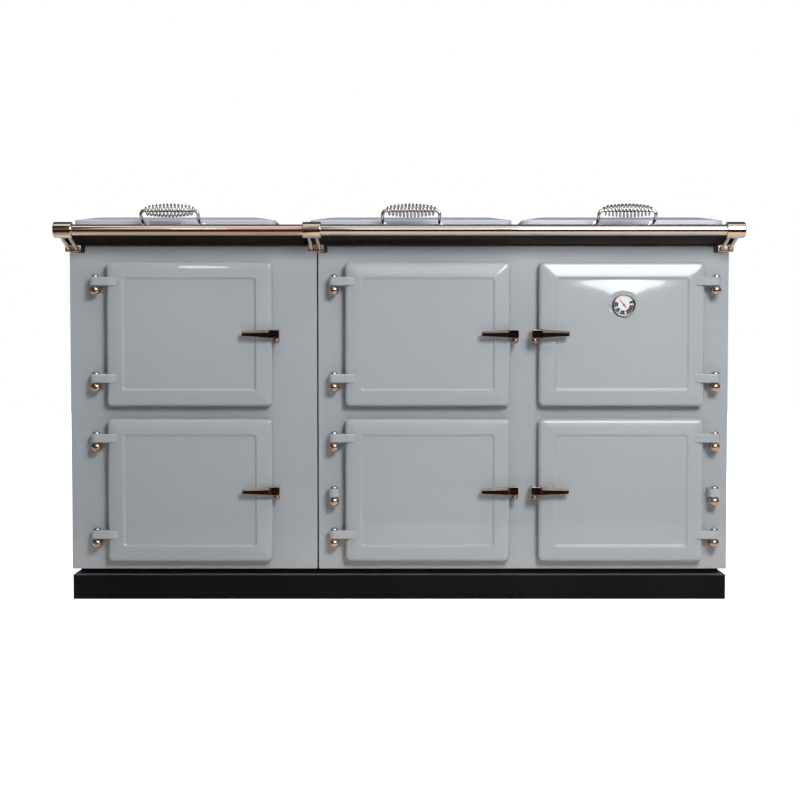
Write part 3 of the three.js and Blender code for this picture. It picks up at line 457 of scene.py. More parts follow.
DARK_FOOT_BLOCK = Finish(
    "black_rubber_pad", (20, 19, 18), (14, 13, 13), roughness=0.6, drift_scale=40, grain=0.00001,
    grain_scale=800, gloss_drift=0.1,
)
DIAL_WHITE = Finish(
    "dial_white", (218, 218, 216), (210, 211, 210), roughness=0.5, specular=0.1, drift_scale=30,
    grain=0.000002, grain_scale=800,
)
DIAL_BLACK = Finish(
    "dial_black_print", (20, 20, 26), (12, 12, 16), roughness=0.35, drift_scale=60, grain=0.000002,
    grain_scale=800,
)
NEEDLE_RED = Finish(
    "needle_red_lacquer", (158, 62, 68), (140, 48, 56), roughness=0.4, coat=0.1, drift_scale=60,
    grain=0.000002, grain_scale=800,
)


# ---------------------------------------------------------------- shapes


def arc(start: float, end: float, steps: int) -> list[float]:
    """Angles in radians from start to end degrees, both included."""
    return [math.radians(start + (end - start) * i / steps) for i in range(steps + 1)]


def bend(
    radius: float, start: float, end: float, steps: int, centre: Point = (0.0, 0.0), squash: float = 1.0
) -> list[Point]:
    """Points round a bend, from start to end degrees, its second axis squashed by a factor."""
    return [
        (centre[0] + radius * math.cos(a), centre[1] + radius * squash * math.sin(a))
        for a in arc(start, end, steps)
    ]


def soft(share: float) -> float:
    """A soft step from 0 to 1."""
    share = min(max(share, 0.0), 1.0)
    return share * share * (3 - 2 * share)


def outline(width: float, height: float, radius: float, corner: int = 6, side: int = 1) -> list[Point]:
    """A rounded rectangle about the origin.

    Args:
        width: Its size along the first axis.
        height: Its size along the second.
        radius: The radius of its corners.
        corner: Steps in each corner.
        side: Parts that each straight side is cut in.

    Returns:
        The points, anticlockwise from the right side's upper end.
    """
    radius = min(radius, width / 2 - 0.01, height / 2 - 0.01)
    bends: list[list[Point]] = []
    for quarter, (sx, sy) in enumerate(((1, 1), (-1, 1), (-1, -1), (1, -1))):
        centre = sx * (width / 2 - radius), sy * (height / 2 - radius)
        bends.append(bend(radius, 90 * quarter, 90 * quarter + 90, corner, centre))
    points: list[Point] = []
    for quarter, turn in enumerate(bends):
        points.extend(turn)
        (ax, ay), (bx, by) = turn[-1], bends[(quarter + 1) % 4][0]
        points.extend((ax + (bx - ax) * j / side, ay + (by - ay) * j / side) for j in range(1, side))
    return points


def rounded(edge: float, top: float, start: float = 0.0, end: float = 90.0, steps: int = 8) -> list[Point]:
    """Inset and height up a rounded edge that levels off at the top, from start to end degrees."""
    return [(edge * (1 - math.cos(a)), top - edge + edge * math.sin(a)) for a in arc(start, end, steps)]


def tiers(
    width: float, height: float, rows: Iterable[tuple[float, float, float]], **steps: int
) -> list[Ring]:
    """Rounded rectangles drawn in from one size, for rows of inset, corner radius and z."""
    return [
        [Vector((x, y, z)) for x, y in outline(width - 2 * inset, height - 2 * inset, radius, **steps)]
        for inset, radius, z in rows
    ]


def stack(width: float, height: float, radius: float, rows: Iterable[Point], **steps: int) -> list[Ring]:
    """Tiers whose corners tighten as they draw in, for rows of inset and z."""
    return tiers(width, height, [(inset, radius - inset, z) for inset, z in rows], **steps)


def smooth_path(points: Sequence[Vector], steps: int) -> list[Vector]:
    """A centripetal curve through the points, with so many steps in each span."""
    ends = [points[0] * 2 - points[1], *points, points[-1] * 2 - points[-2]]
    path: list[Vector] = []
    for p0, p1, p2, p3 in zip(ends, ends[1:], ends[2:], ends[3:]):
        t1 = (p1 - p0).length ** 0.5
        t2 = t1 + (p2 - p1).length ** 0.5
        t3 = t2 + (p3 - p2).length ** 0.5
        for step in range(steps):
            t = t1 + (t2 - t1) * step / steps
            a1, a2 = p0.lerp(p1, t / t1), p1.lerp(p2, (t - t1) / (t2 - t1))
            a3 = p2.lerp(p3, (t - t2) / (t3 - t2))
            b1, b2 = a1.lerp(a2, t / t2), a2.lerp(a3, (t - t1) / (t3 - t1))
            path.append(b1.lerp(b2, (t - t1) / (t2 - t1)))
    path.append(points[-1].copy())
    return path


def linked(name: str, data: bpy.types.ID) -> bpy.types.Object:
    """A new object in the scene."""
    made = bpy.data.objects.new(name, data)
    bpy.context.scene.collection.objects.link(made)
    return made


def shade(data: bpy.types.Mesh, crease: float) -> None:
    """Shades a mesh smooth, but for edges past an angle in degrees."""
    data.polygons.foreach_set("use_smooth", [True] * len(data.polygons))
    data.set_sharp_from_angle(angle=math.radians(crease))


@dataclass
class Skin:
    """Closed shells that are gathered into one mesh, in millimetres."""

    points: list[Vector] = field(default_factory=list)
    faces: Faces = field(default_factory=list)

    def band(self, rings: Sequence[Ring]) -> "Skin":
        """Adds a skin over rings of equally many points, capped at both ends."""
        first, count = len(self.points), len(rings[0])
        last = first + (len(rings) - 1) * count
        for ring in rings:
            self.points.extend(ring)
        for a in range(first, last, count):
            for i, j in zip(range(count), (*range(1, count), 0)):
                self.faces.append((a + i, a + j, a + count + j, a + count + i))
        self.faces.append(tuple(reversed(range(first, first + count))))
        self.faces.append(tuple(range(last, last + count)))
        return self

    def turned(self, profile: Sequence[Point], steps: int = 32, place: Matrix = Matrix()) -> "Skin":
        """Adds a turning about z.

        Args:
            profile: Its radius and height, from one end on the axis to the other.
            steps: Points round it.
            place: Where it goes.

        Returns:
            The skin itself.
        """
        turns = arc(0, 360 - 360 / steps, steps - 1)
        return self.band([
            [place @ Vector((r * math.cos(a), r * math.sin(a), h)) for a in turns] for r, h in profile
        ])

    def swept(self, path: Sequence[Vector], radius: float, sides: int = 16) -> "Skin":
        """Adds a round bar along a path, with the ring kept from twisting."""
        rings: list[Ring] = []
        steep = abs((path[1] - path[0]).normalized().z) >= 0.9
        across = Vector((1, 0, 0)) if steep else Vector((0, 0, 1))
        for i, point in enumerate(path):
            along = (path[min(i + 1, len(path) - 1)] - path[max(i - 1, 0)]).normalized()
            across = (across - along * across.dot(along)).normalized()
            up = along.cross(across)
            rings.append([
                point + across * radius * math.cos(a) + up * radius * math.sin(a)
                for a in arc(0, 360 - 360 / sides, sides - 1)
            ])
        return self.band(rings)

    def slab(
        self, shape: Sequence[Point], low: float, high: float, edge: float = 0.0, place: Matrix = Matrix()
    ) -> "Skin":
        """Adds a plate with eased edges, its outline drawn in x and y and its faces at low and high z."""
        middle = Vector((sum(x for x, _ in shape) / len(shape), sum(y for _, y in shape) / len(shape)))
        turns = arc(90, 0, 4) if edge else [0.0]
        levels = [(edge * (1 - math.cos(a)), low + edge * (1 - math.sin(a))) for a in turns]
        levels += [(inset, high + low - z) for inset, z in reversed(levels)]
        rings: list[Ring] = []
        for inset, z in levels:
            ring: Ring = []
            for x, y in shape:
                out = Vector((x, y)) - middle
                moved = middle + out * max(0.0, 1 - inset / max(out.length, 1e-6))
                ring.append(place @ Vector((moved.x, moved.y, z)))
            rings.append(ring)
        return self.band(rings)

    def block(
        self, low: Sequence[float], high: Sequence[float], edge: float, place: Matrix = Matrix()
    ) -> "Skin":
        """Adds a block between two corners, with rounded edges."""
        size = [b - a for a, b in zip(low, high)]
        centre = Vector([(a + b) / 2 for a, b in zip(low, high)])
        upper = rounded(edge, size[2] / 2, steps=4)
        levels = [(inset, -z) for inset, z in reversed(upper)] + upper
        rows = [(inset, max(edge - inset, 0.05) + 0.1, z) for inset, z in levels]
        rings = tiers(size[0], size[1], rows, corner=4)
        return self.band([[place @ (centre + point) for point in ring] for ring in rings])

    def add(self, other: "Skin", place: Matrix = Matrix()) -> "Skin":
        """Adds another skin's shells, moved to a place."""
        first = len(self.points)
        self.points.extend(place @ p for p in other.points)
        self.faces.extend(tuple(first + i for i in face) for face in other.faces)
        return self

    def mesh(self, name: str, place: Matrix = Matrix(), crease: float = 32.0) -> bpy.types.Object:
        """Makes the mesh's object.

        Args:
            name: The object's name.
            place: Where the skin goes, still in millimetres.
            crease: The angle in degrees past which an edge is sharp.

        Returns:
            The object, at the origin, with its place in its mesh.
        """
        data = bpy.data.meshes.new(name)
        to_metres = Matrix.Scale(MM, 4) @ place
        data.from_pydata([to_metres @ p for p in self.points], [], self.faces)
        shell = bmesh.new()
        shell.from_mesh(data)
        bmesh.ops.remove_doubles(shell, verts=shell.verts, dist=2e-6)
        bmesh.ops.dissolve_degenerate(shell, dist=1e-7, edges=shell.edges)
        bmesh.ops.recalc_face_normals(shell, faces=shell.faces)
        shell.to_mesh(data)
        shell.free()
        shade(data, crease)
        return linked(name, data)


def face_place(x: float, z: float) -> Matrix:
    """Where a piece drawn on a face goes: x right, y up and z outward from the front plates."""
    return Matrix(((1, 0, 0, x), (0, 0, -1, FACE_Y), (0, 1, 0, z), (0, 0, 0, 1)))


def on_face(node: str) -> Matrix:
    """Where a piece drawn on a face goes to lie about the middle of a CAD node."""
    middle = middle_of(node)
    return face_place(middle.x, middle.z)


def in_metres(place: Matrix) -> Matrix:
    """The unmirrored place of a piece drawn in metres, from one in millimetres."""
    return Matrix.LocRotScale(place.to_translation() * MM, place.to_quaternion(), None)


def millimetres(node: str) -> tuple[Vector, Vector]:
    """The lower and upper corner of a CAD node's box."""
    low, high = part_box(node)
    return low / MM, high / MM


def middle_of(node: str) -> Vector:
    """The middle of a CAD node's box, in millimetres."""
    low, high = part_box(node)
    return (low + high) / (2 * MM)


def flattened(made: bpy.types.Object) -> bpy.types.Object:
    """Turns an object's modifiers into plain mesh and takes them off."""
    depsgraph = bpy.context.evaluated_depsgraph_get()
    data = bpy.data.meshes.new_from_object(
        made.evaluated_get(depsgraph), preserve_all_data_layers=True, depsgraph=depsgraph
    )
    made.modifiers.clear()
    old = made.data
    made.data = data
    data.name = made.name
    if old.users == 0:
        bpy.data.meshes.remove(old)
    return made


def evened(made: bpy.types.Object) -> bpy.types.Object:
    """Shades large flats as flat, by weighting the normals by area."""
    weigh = made.modifiers.new("weigh", "WEIGHTED_NORMAL")
    weigh.mode, weigh.keep_sharp, weigh.weight = "FACE_AREA", True, 60
    return flattened(made)


def cut(made: bpy.types.Object, tools: Iterable[bpy.types.Object]) -> bpy.types.Object:
    """Cuts closed tools out of a closed piece, and deletes the tools."""
    for tool in tools:
        step = made.modifiers.new("cut", "BOOLEAN")
        step.operation, step.solver, step.object = "DIFFERENCE", "EXACT", tool
        flattened(made)
        bpy.data.objects.remove(tool)
    return made


def eased_copy(node: str, name: str, edge: float) -> bpy.types.Object:
    """A copy of a flat-sided CAD node whose edges are rounded off by so many millimetres."""
    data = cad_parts[node].data.copy()
    data.materials.clear()
    shell = bmesh.new()
    shell.from_mesh(data)
    bmesh.ops.remove_doubles(shell, verts=shell.verts, dist=1e-5)
    bmesh.ops.dissolve_limit(shell, angle_limit=math.radians(0.5), verts=shell.verts, edges=shell.edges)
    shell.to_mesh(data)
    shell.free()
    data.name = name
    made = linked(name, data)
    ease = made.modifiers.new("ease", "BEVEL")
    ease.width, ease.segments, ease.angle_limit = edge * MM, 2, math.radians(30)
    ease.use_clamp_overlap = True
    flattened(made)
    shade(made.data, 50)
    return made


class Grown:
    """A piece that a Geometry Nodes tree makes from named sizes."""

    def __init__(self, name: str, sizes: dict[str, float | int], paint: bpy.types.Material) -> None:
        """Starts a tree.

        Args:
            name: The piece's name.
            sizes: The tree's named inputs and their values, lengths in metres.
            paint: The piece's material.
        """
        self.name, self.sizes, self.paint = name, sizes, paint
        self.tree = bpy.data.node_groups.new(name, "GeometryNodeTree")
        self.graph = Graph(self.tree)
        self.keys: dict[str, str] = {}
        for label, value in sizes.items():
            kind = "NodeSocketInt" if isinstance(value, int) else "NodeSocketFloat"
            socket = self.tree.interface.new_socket(label, in_out="INPUT", socket_type=kind)
            self.keys[label] = socket.identifier
        self.tree.interface.new_socket("Geometry", in_out="OUTPUT", socket_type="NodeSocketGeometry")
        self._inputs = self.tree.nodes.new("NodeGroupInput")

    def size(self, label: str) -> Link:
        """The link of a named input."""
        return Link(self.graph, self._inputs.outputs[label])

    def rectangle(self) -> Link:
        """A rectangle of the named width and height."""
        return self.graph.node(
            "GeometryNodeCurvePrimitiveQuadrilateral",
            {"Width": self.size("Width"), "Height": self.size("Height")},
            mode="RECTANGLE",
        )

    def rod(self, route: Link, radius: Link, sides: int, **caps: bool) -> Link:
        """A round bar along a curve."""
        ring = self.graph.node(
            "GeometryNodeCurvePrimitiveCircle", {"Resolution": sides, "Radius": radius}
        )
        return self.graph.node("GeometryNodeCurveToMesh", {"Curve": route, "Profile Curve": ring, **caps})

    def finish(self, shape: Link) -> bpy.types.Object:
        """Ends the tree on a shape and makes its plain mesh."""
        graph = self.graph
        real = graph.node("GeometryNodeRealizeInstances", {0: shape})
        painted = graph.node("GeometryNodeSetMaterial", {"Geometry": real, "Material": self.paint})
        graph.node("NodeGroupOutput", {"Geometry": painted})
        made = linked(self.name, bpy.data.meshes.new(self.name))
        grow = made.modifiers.new("grow", "NODES")
        grow.node_group = self.tree
        for label, value in self.sizes.items():
            grow[self.keys[label]] = value
        flattened(made)
        shade(made.data, 40)
        return made


def screw_row(
    name: str, paint: bpy.types.Material, place: Matrix, width: float, height: float, count: int,
    radius: float,
) -> bpy.types.Object:
    """Domed screw heads round a rectangle.

    Args:
        name: The piece's name.
        paint: Its material.
        place: Where the rectangle's plane goes, in millimetres, with its z outward.
        width: The rectangle's width between screws, in millimetres.
        height: Its height.
        count: How many screws.
        radius: The radius of a head.

    Returns:
        The row as one mesh.
    """
    sizes = {"Width": width * MM, "Height": height * MM, "Count": count, "Radius": radius * MM}
    grown = Grown(name, sizes, paint)
    graph = grown.graph
    spots = graph.node(
        "GeometryNodeResampleCurve", {"Curve": grown.rectangle(), "Count": grown.size("Count")}
    )
    head = graph.node(
        "GeometryNodeMeshUVSphere", {"Segments": 16, "Rings": 8, "Radius": grown.size("Radius")}
    )
    heads = graph.node(
        "GeometryNodeInstanceOnPoints", {"Points": spots, "Instance": head, "Scale": (1, 1, 0.45)}
    )
    made = grown.finish(heads)
    made.data.transform(in_metres(place))
    return made


# ---------------------------------------------------------------- the range


class Assembly:
    """Shared work of the sub-assemblies: dressing pieces and handing them to the frame."""

    def __init__(self, paints: Paints) -> None:
        """Keeps the shared materials."""
        self.paints = paints

    def hand_over(
        self, made: bpy.types.Object, body: str, finish: Finish, slot: Slot, *nodes: str
    ) -> None:
        """Dresses a finished piece and ties it to the frame.

        Args:
            made: The piece.
            body: The CAD body that it rides on.
            finish: Its finish.
            slot: Not used.
            nodes: The CAD nodes that it stands for.
        """
        made.data.materials.clear()
        made.data.materials.append(self.paints(finish))
        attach(made, body)
        if nodes:
            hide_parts(*nodes)
        LOG.info("%s rides on %s, %d faces", made.name, body, len(made.data.polygons))

    def redress(self, node: str, finish: Finish, slot: Slot) -> None:
        """Gives a CAD node that stays its finish."""
        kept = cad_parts[node]
        kept.data.materials.clear()
        kept.data.materials.append(self.paints(finish))
        LOG.info("%s keeps its CAD shape", node)


@dataclass
class Arm:
    """A cast arm that reaches from a hinge pin over the border of a door, drawn from the door's edge."""

    standoff: float = 26.0
    end_radius: float = 11.5
    height: float = 21.0
    edge: float = 2.8
    bevel: float = 2.8
    bevel_depth: float = 2.1
    foot_edge: float = 0.6
    full_depth: float = 9.0
    fade: tuple[Point, ...] = (
        (0, 37.5), (6, 37.2), (11, 36.4), (16, 35.0), (20, 33.7), (24, 32.3), (28, 30.6),
    )

    def skin(self) -> Skin:
        """The arm's shell, x from the door's edge inwards, y up, z outward."""
        sections: list[tuple[float, float, float]] = []
        for a in arc(-84, 0, 10):
            half = self.end_radius * math.cos(a)
            x = self.end_radius * math.sin(a) - PIN_OUTSET
            sections.append((x, self.standoff - half, self.standoff + half))
        low = self.standoff - self.end_radius
        sections += [(x, low, high) for x, high in self.fade]
        rings: list[Ring] = []
        half = self.height / 2
        for x, low, high in sections:
            scale = min(1.0, (high - low) / self.full_depth)
            sizes = self.edge, self.bevel, self.bevel_depth, self.foot_edge
            edge, rise, depth, ease = (scale * size for size in sizes)
            round_low = [
                (edge * (1 + math.cos(a)) - half, high - edge * (1 - math.sin(a))) for a in arc(90, 180, 5)
            ]
            shape = [
                (half, high - depth), (half - rise, high), *round_low,
                (-half, low + ease), (ease - half, low), (half - ease, low), (half, low + ease),
            ]
            rings.append([Vector((x, up, outward)) for up, outward in shape])
        return Skin().band(rings)


@dataclass
class HingePin:
    """A turned pin: a ball below the arm, the shaft, a dome above and the stem into the front plate."""

    ball: float = 12.5
    drop: float = 21.3
    shaft: float = 4.0
    half_arm: float = 10.8
    dome: float = 10.0
    dome_height: float = 7.0
    stem: float = 6.0
    standoff: float = 26.0
    lip: float = 0.8

    def turning(self) -> Skin:
        """The ball, shaft and dome, about y."""
        neck = math.degrees(math.asin((self.drop - self.half_arm) / self.ball))
        profile = bend(self.ball, -90, neck, 24, (0.0, -self.drop))
        seat = self.half_arm + self.lip
        profile += [(self.shaft, -self.half_arm), (self.shaft, self.half_arm)]
        profile += [(self.dome - self.lip, self.half_arm), (self.dome, seat)]
        profile += bend(self.dome, 8, 90, 12, (0.0, seat), (self.dome_height - self.lip) / self.dome)
        profile[0], profile[-1] = (0.0, profile[0][1]), (0.0, profile[-1][1])
        return Skin().turned(profile, 40, UPRIGHT)

    def skin(self) -> Skin:
        """The whole pin, its axis along y and z outward from the axis."""
        made = self.turning()
        back = 0.3 - self.standoff
        flange = [(0, 0), (2.2, 0), (2.6, 0.5), (2.6, 2.2), (2.0, 2.8), (0, 3.0)]
        stem = [(0, back)] + [(self.stem + wider, back + up) for wider, up in flange[1:]]
        stem += [(self.stem, -self.shaft), (0, -self.shaft)]
        return made.turned(stem, 24, Matrix.Translation((0, -self.drop, 0)))

    def made(self, name: str, place: Matrix) -> bpy.types.Object:
        """Makes the pin's object at a place in millimetres, its dome marked for its paint."""
        piece = self.skin().mesh(name, place)
        back = (Matrix.Scale(MM, 4) @ place).inverted()
        heights = [(back @ vertex.co).y for vertex in piece.data.vertices]
        marks = piece.data.attributes.new("cap", "FLOAT", "POINT")
        marks.data.foreach_set("value", [float(height > self.half_arm - 0.5) for height in heights])
        return piece


@dataclass
class Lever:
    """A latch lever about its pin: x along the lever, y up, z outward."""

    length: float = 82.0
    ball: float = 8.0
    ball_drop: float = 15.5

    def bar(self) -> Skin:
        """The tapered bar with its chamfered edges."""
        sections = [
            (-self.length, 10.0, 6.4, 16.0), (0.9 - self.length, 12.0, 8.0, 16.0),
            (2.0 - self.length, 12.6, 8.5, 16.0), (-18.5, 21.2, 12.8, 11.6), (-16.0, 21.4, 12.8, 11.0),
        ]
        rings: list[Ring] = []
        for x, tall, deep, out in sections:  # place, height, depth and middle of each section
            top, drop, low = 0.34 * tall, 0.2 * tall, 0.12 * tall
            half, front, back = tall / 2, out + deep / 2, out - deep / 2
            heel, side = back + 0.1 * deep, half - 0.02 * tall
            shape = [
                (side, back), (half, heel), (half, front - drop), (half - top, front),
                (low - half, front), (-half, front - low), (-half, heel), (-side, back),
            ]
            rings.append([Vector((x, up, outward)) for up, outward in shape])
        return Skin().band(rings)

    def skin(self) -> Skin:
        """The lever with its collar, fork, end block, pin and ball."""
        made = self.bar()
        for low, high, tall, deep, out, edge in (
            (-17.2, -14.9, 24.0, 17.0, 10.0, 0.9), (-15.2, -12.8, 22.4, 15.6, 10.0, 0.9),
            (1.5, 7.9, 23.0, 23.0, 0.8, 1.4),
        ):
            shape = [(x, y + out) for x, y in outline(tall, deep, 3.0, 4)]
            made.slab(shape, low, high, edge, EDGEWISE)
        for sign in (-1, 1):
            low, high = sorted((sign * 3.6, sign * 10.0))
            made.block((-13.5, low, -8.2), (2.0, high, 11.8), 1.2)
        made.block((-13.5, -9.5, 6.4), (2.0, 9.5, 11.8), 1.2)
        pin = [(0, -10.4), (2.5, -10.4), (2.5, 9.6), (4.2, 9.6), (4.6, 10.0), (4.3, 11.0), (0, 11.4)]
        made.turned(pin, 20, UPRIGHT)
        globe = bend(self.ball, -90, 62, 18, (0.0, -self.ball_drop))
        globe[0] = (0.0, globe[0][1])
        globe += [(3.4, -8.0), (0, -8.0)]
        return made.turned(globe, 32, UPRIGHT)


@dataclass
class DoorSizes:
    """The leaf of an oven door, its outline worked out from the mouth of the oven."""

    mouth: Point
    mouth_corner: float = 14.0
    overlap: float = 26.0
    plug_clearance: float = 5.0
    plug_depth: float = 10.0
    standoff: float = 1.5
    side: float = 20.0
    shoulder: float = 10.0
    face: float = 33.0
    border: float = 37.0
    fillet: float = 7.0
    recess: float = 4.0
    corner: float = 12.0
    crown: float = 0.45
    pillow: float = 1.3
    boss_radius: float = 36.5
    boss_edge: Point = (3.5, 1.4)
    latch_outset: float = 11.0
    latch_standoff: float = 36.0
    top_hinge: float = 47.5
    bottom_hinge: float = 67.5
    rope: Point = (7.5, 3.5)

    @classmethod
    def of_oven(cls, liner: str, flange: float = 20.0) -> "DoorSizes":
        """The sizes of the door that closes a liner, whose flange is wider than its mouth all round."""
        low, high = millimetres(liner)
        return cls((high.x - low.x - 2 * flange, high.z - low.z - 2 * flange))

    @property
    def width(self) -> float:
        """The leaf's width."""
        return self.mouth[0] + 2 * self.overlap

    @property
    def height(self) -> float:
        """The leaf's height."""
        return self.mouth[1] + 2 * self.overlap

    @property
    def plug(self) -> Point:
        """The width and height of the plug inside the mouth."""
        return self.mouth[0] - 2 * self.plug_clearance, self.mouth[1] - 2 * self.plug_clearance


@dataclass
class Swelling:
    """A broad rise of a door's panel round a fitting, that runs out to the panel's top edge."""

    x: float = GAUGE_SPOT[0]
    y: float = GAUGE_SPOT[1]
    height: float = 3.8
    spread: float = 38.0
    crest: float = 2.7
    crest_run: float = 36.0
    crest_spread: float = 100.0
    crest_end: float = 230.0
    boss: float = 4.3
    seat: float = 30.0
    seat_depth: float = 2.5

    def rise(self, x: float, y: float, top: float) -> float:
        """Its height at a place on the panel whose top edge is at the given height."""
        away = math.hypot(x - self.x, y - self.y)
        run = min(max((top - y) / self.crest_run, 0.0), 1.0)
        fall = 1 - soft((top - y - self.crest_run) / (self.crest_end - self.crest_run))
        aside = math.exp(-(((x - self.x) / self.crest_spread) ** 2))
        crest = self.crest * (1 - (1 - run) ** 2) * fall * aside
        swell = self.height * math.exp(-((away / self.spread) ** 2)) + crest
        return min(swell, self.boss - self.seat_depth) if away < self.seat else swell


class Door(Assembly):
    """One oven door with its hinges, latch, seal and liner."""

    def __init__(self, paints: Paints, column: str, level: Level, side: int) -> None:
        """Finds the door's place.

        Args:
            paints: The shared materials.
            column: left, middle or right.
            level: The row that it is in.
            side: 1 where it hangs at its left and -1 where it hangs at its right.
        """
        super().__init__(paints)
        self.name, self.column, self.side = f"{column}_{level.value}", column, side
        self.sizes = DoorSizes.of_oven(f"{self.name}_oven_liner")
        self.place = on_face(f"{self.name}_oven_liner")
        self.handed = self.place @ Matrix.Diagonal((side, 1, 1, 1))
        self.swelling = Swelling() if self.name == "right_upper" else None

    def profile(self) -> list[tuple[float, float, float]]:
        """Inset from the edge, corner radius and outward height, from the door's back to its recess."""
        s = self.sizes
        rows = [
            (inset, s.corner - less, s.standoff + up)
            for inset, less, up in ((3.0, 3, 0), (1.0, 1, 0.3), (0.2, 0, 1.2), (0.0, 0, 2.5))
        ]
        for inset, height in rounded(s.shoulder, s.side + s.shoulder, 0, 84, 12):
            rows.append((inset, max(s.corner - 0.75 * inset, 5.0), height))
        inset0, _, height0 = rows[-1]
        for t in (step / 8 for step in range(1, 9)):
            height = height0 + (s.face - height0) * t + s.crown * math.sin(math.pi * t)
            rows.append((inset0 + (s.border - inset0) * t, 5.0 + 4.5 * t, height))
        for t in (step / 10 for step in range(1, 11)):
            rows.append((s.border + s.fillet * t, 9.5 - 4.0 * t, s.face - s.recess * soft(t)))
        return rows

    def rise(self, x: float, y: float, inset: float) -> float:
        """How far the panel inside the recess stands proud of a flat one."""
        s = self.sizes
        edge = s.border + s.fillet
        half_w, half_h = s.width / 2 - edge, s.height / 2 - edge
        fade = soft((inset - edge) / 16)
        pillow = s.pillow * max(0.0, 1 - (x / half_w) ** 2) * max(0.0, 1 - (y / half_h) ** 2)
        if self.swelling is None:
            return pillow * fade
        return pillow * fade + self.swelling.rise(x * self.side, y, half_h) * soft((inset - edge) / 4)

    def leaf(self) -> Skin:
        """The leaf's shell: plug, back, shoulder, sloped border and recessed panel."""
        s = self.sizes
        count = 40 if self.swelling else 12
        back, rows = -s.plug_depth, self.profile()
        plug = ((2.0, back), (0.6, back + 0.6), (0, back + 2), (0, s.standoff))
        rings = stack(*s.plug, 9, plug, side=count) + tiers(s.width, s.height, rows, side=count)
        edge, base = rows[-1][0], s.face - s.recess
        depth = s.height / 2 - 4 - edge
        for step in range(1, count + 1):
            inset, radius = edge + depth * step / count, max(5.5 - step * 0.1, 2.0)
            shape = outline(s.width - 2 * inset, s.height - 2 * inset, radius, side=count)
            rings.append([Vector((x, y, base + self.rise(x, y, inset))) for x, y in shape])
        return Skin().band(rings)

    def tongue(self) -> Skin:
        """The lug at the free edge that the latch is pinned to."""
        s = self.sizes
        edge = s.width / 2
        shape = bend(5.5, -60, 100, 12, (edge + s.latch_outset, s.latch_standoff))
        shape += [(edge - 11, 28), (edge - 11, 14), (edge - 2, 14)]
        flat = Matrix(((1, 0, 0, 0), (0, 0, 1, 0), (0, 1, 0, 0), (0, 0, 0, 1)))
        return Skin().slab(shape, -3, 3, 0.5, flat)

    def hinge_heights(self) -> tuple[tuple[str, float], ...]:
        """The middle of each hinge above the middle of the door."""
        s = self.sizes
        return (("top", s.height / 2 - s.top_hinge), ("bottom", s.bottom_hinge - s.height / 2))

    def casting(self) -> None:
        """The leaf with its arms and tongue, in grey enamel."""
        s = self.sizes
        made = self.leaf().add(self.tongue())
        arm = Arm().skin()
        for _, height in self.hinge_heights():
            made.add(arm, Matrix.Translation((-s.width / 2, height, 0)))
        if self.swelling:
            spot, top = self.swelling, s.face - s.recess + self.swelling.boss
            wide, tall = s.boss_edge
            rounding = bend(wide, 0, 90, 5, (s.boss_radius - wide, top - tall), tall / wide)
            boss = [(0, s.side), (s.boss_radius, s.side), *rounding, (0, top)]
            made.turned(boss, 64, Matrix.Translation((spot.x * self.side, spot.y, 0)))
        piece = evened(made.mesh(f"{self.name}_door_casting", self.handed))
        self.hand_over(piece, f"{self.name}_door", GREY_ENAMEL, Slot.GREY_ENAMEL, f"{self.name}_door")

    def pins(self) -> None:
        """The two hinge pins."""
        outset = -(self.sizes.width / 2 + PIN_OUTSET)
        for end, height in self.hinge_heights():
            pin = HingePin()
            place = self.handed @ Matrix.Translation((outset, height, pin.standoff))
            node = f"{self.name}_hinge_pin_{end}"
            self.hand_over(pin.made(f"{node}_turning", place), "root", PIN_METAL, Slot.FITTINGS, node)

    def latch(self) -> None:
        """The latch lever."""
        s = self.sizes
        pivot = Matrix.Translation((s.width / 2 + s.latch_outset, 0, s.latch_standoff))
        place = self.handed @ pivot
        made = Lever().skin().mesh(f"{self.name}_latch_lever", place, 24)
        self.hand_over(evened(made), f"{self.name}_latch", LATCH_METAL, Slot.FITTINGS, f"{self.name}_latch")

    def seal(self) -> None:
        """The rope seal round the plug, which fills the gap behind the door's edge."""
        outset, radius = self.sizes.rope
        w, h = (size + 2 * outset for size in self.sizes.plug)
        sizes = {"Width": w * MM, "Height": h * MM, "Corner": 0.014, "Radius": radius * MM}
        grown = Grown(f"{self.name}_door_seal", sizes, self.paints(ROPE))
        bent = grown.graph.node(
            "GeometryNodeFilletCurve",
            {"Curve": grown.rectangle(), "Count": 8, "Radius": grown.size("Corner")},
            mode="POLY",
        )
        made = grown.finish(grown.rod(bent, grown.size("Radius"), 12))
        squeezed = Matrix.Translation((0, 0, 0.8 * MM)) @ Matrix.Diagonal((1, 1, 0.19, 1))
        made.data.transform(in_metres(self.place) @ squeezed)
        self.hand_over(made, f"{self.name}_door", ROPE, Slot.OVEN)

    def build(self) -> None:
        """Makes the door and all that hangs on it."""
        self.casting()
        self.pins()
        self.latch()
        self.seal()
        self.redress(f"{self.name}_oven_liner", OVEN_ENAMEL, Slot.OVEN)


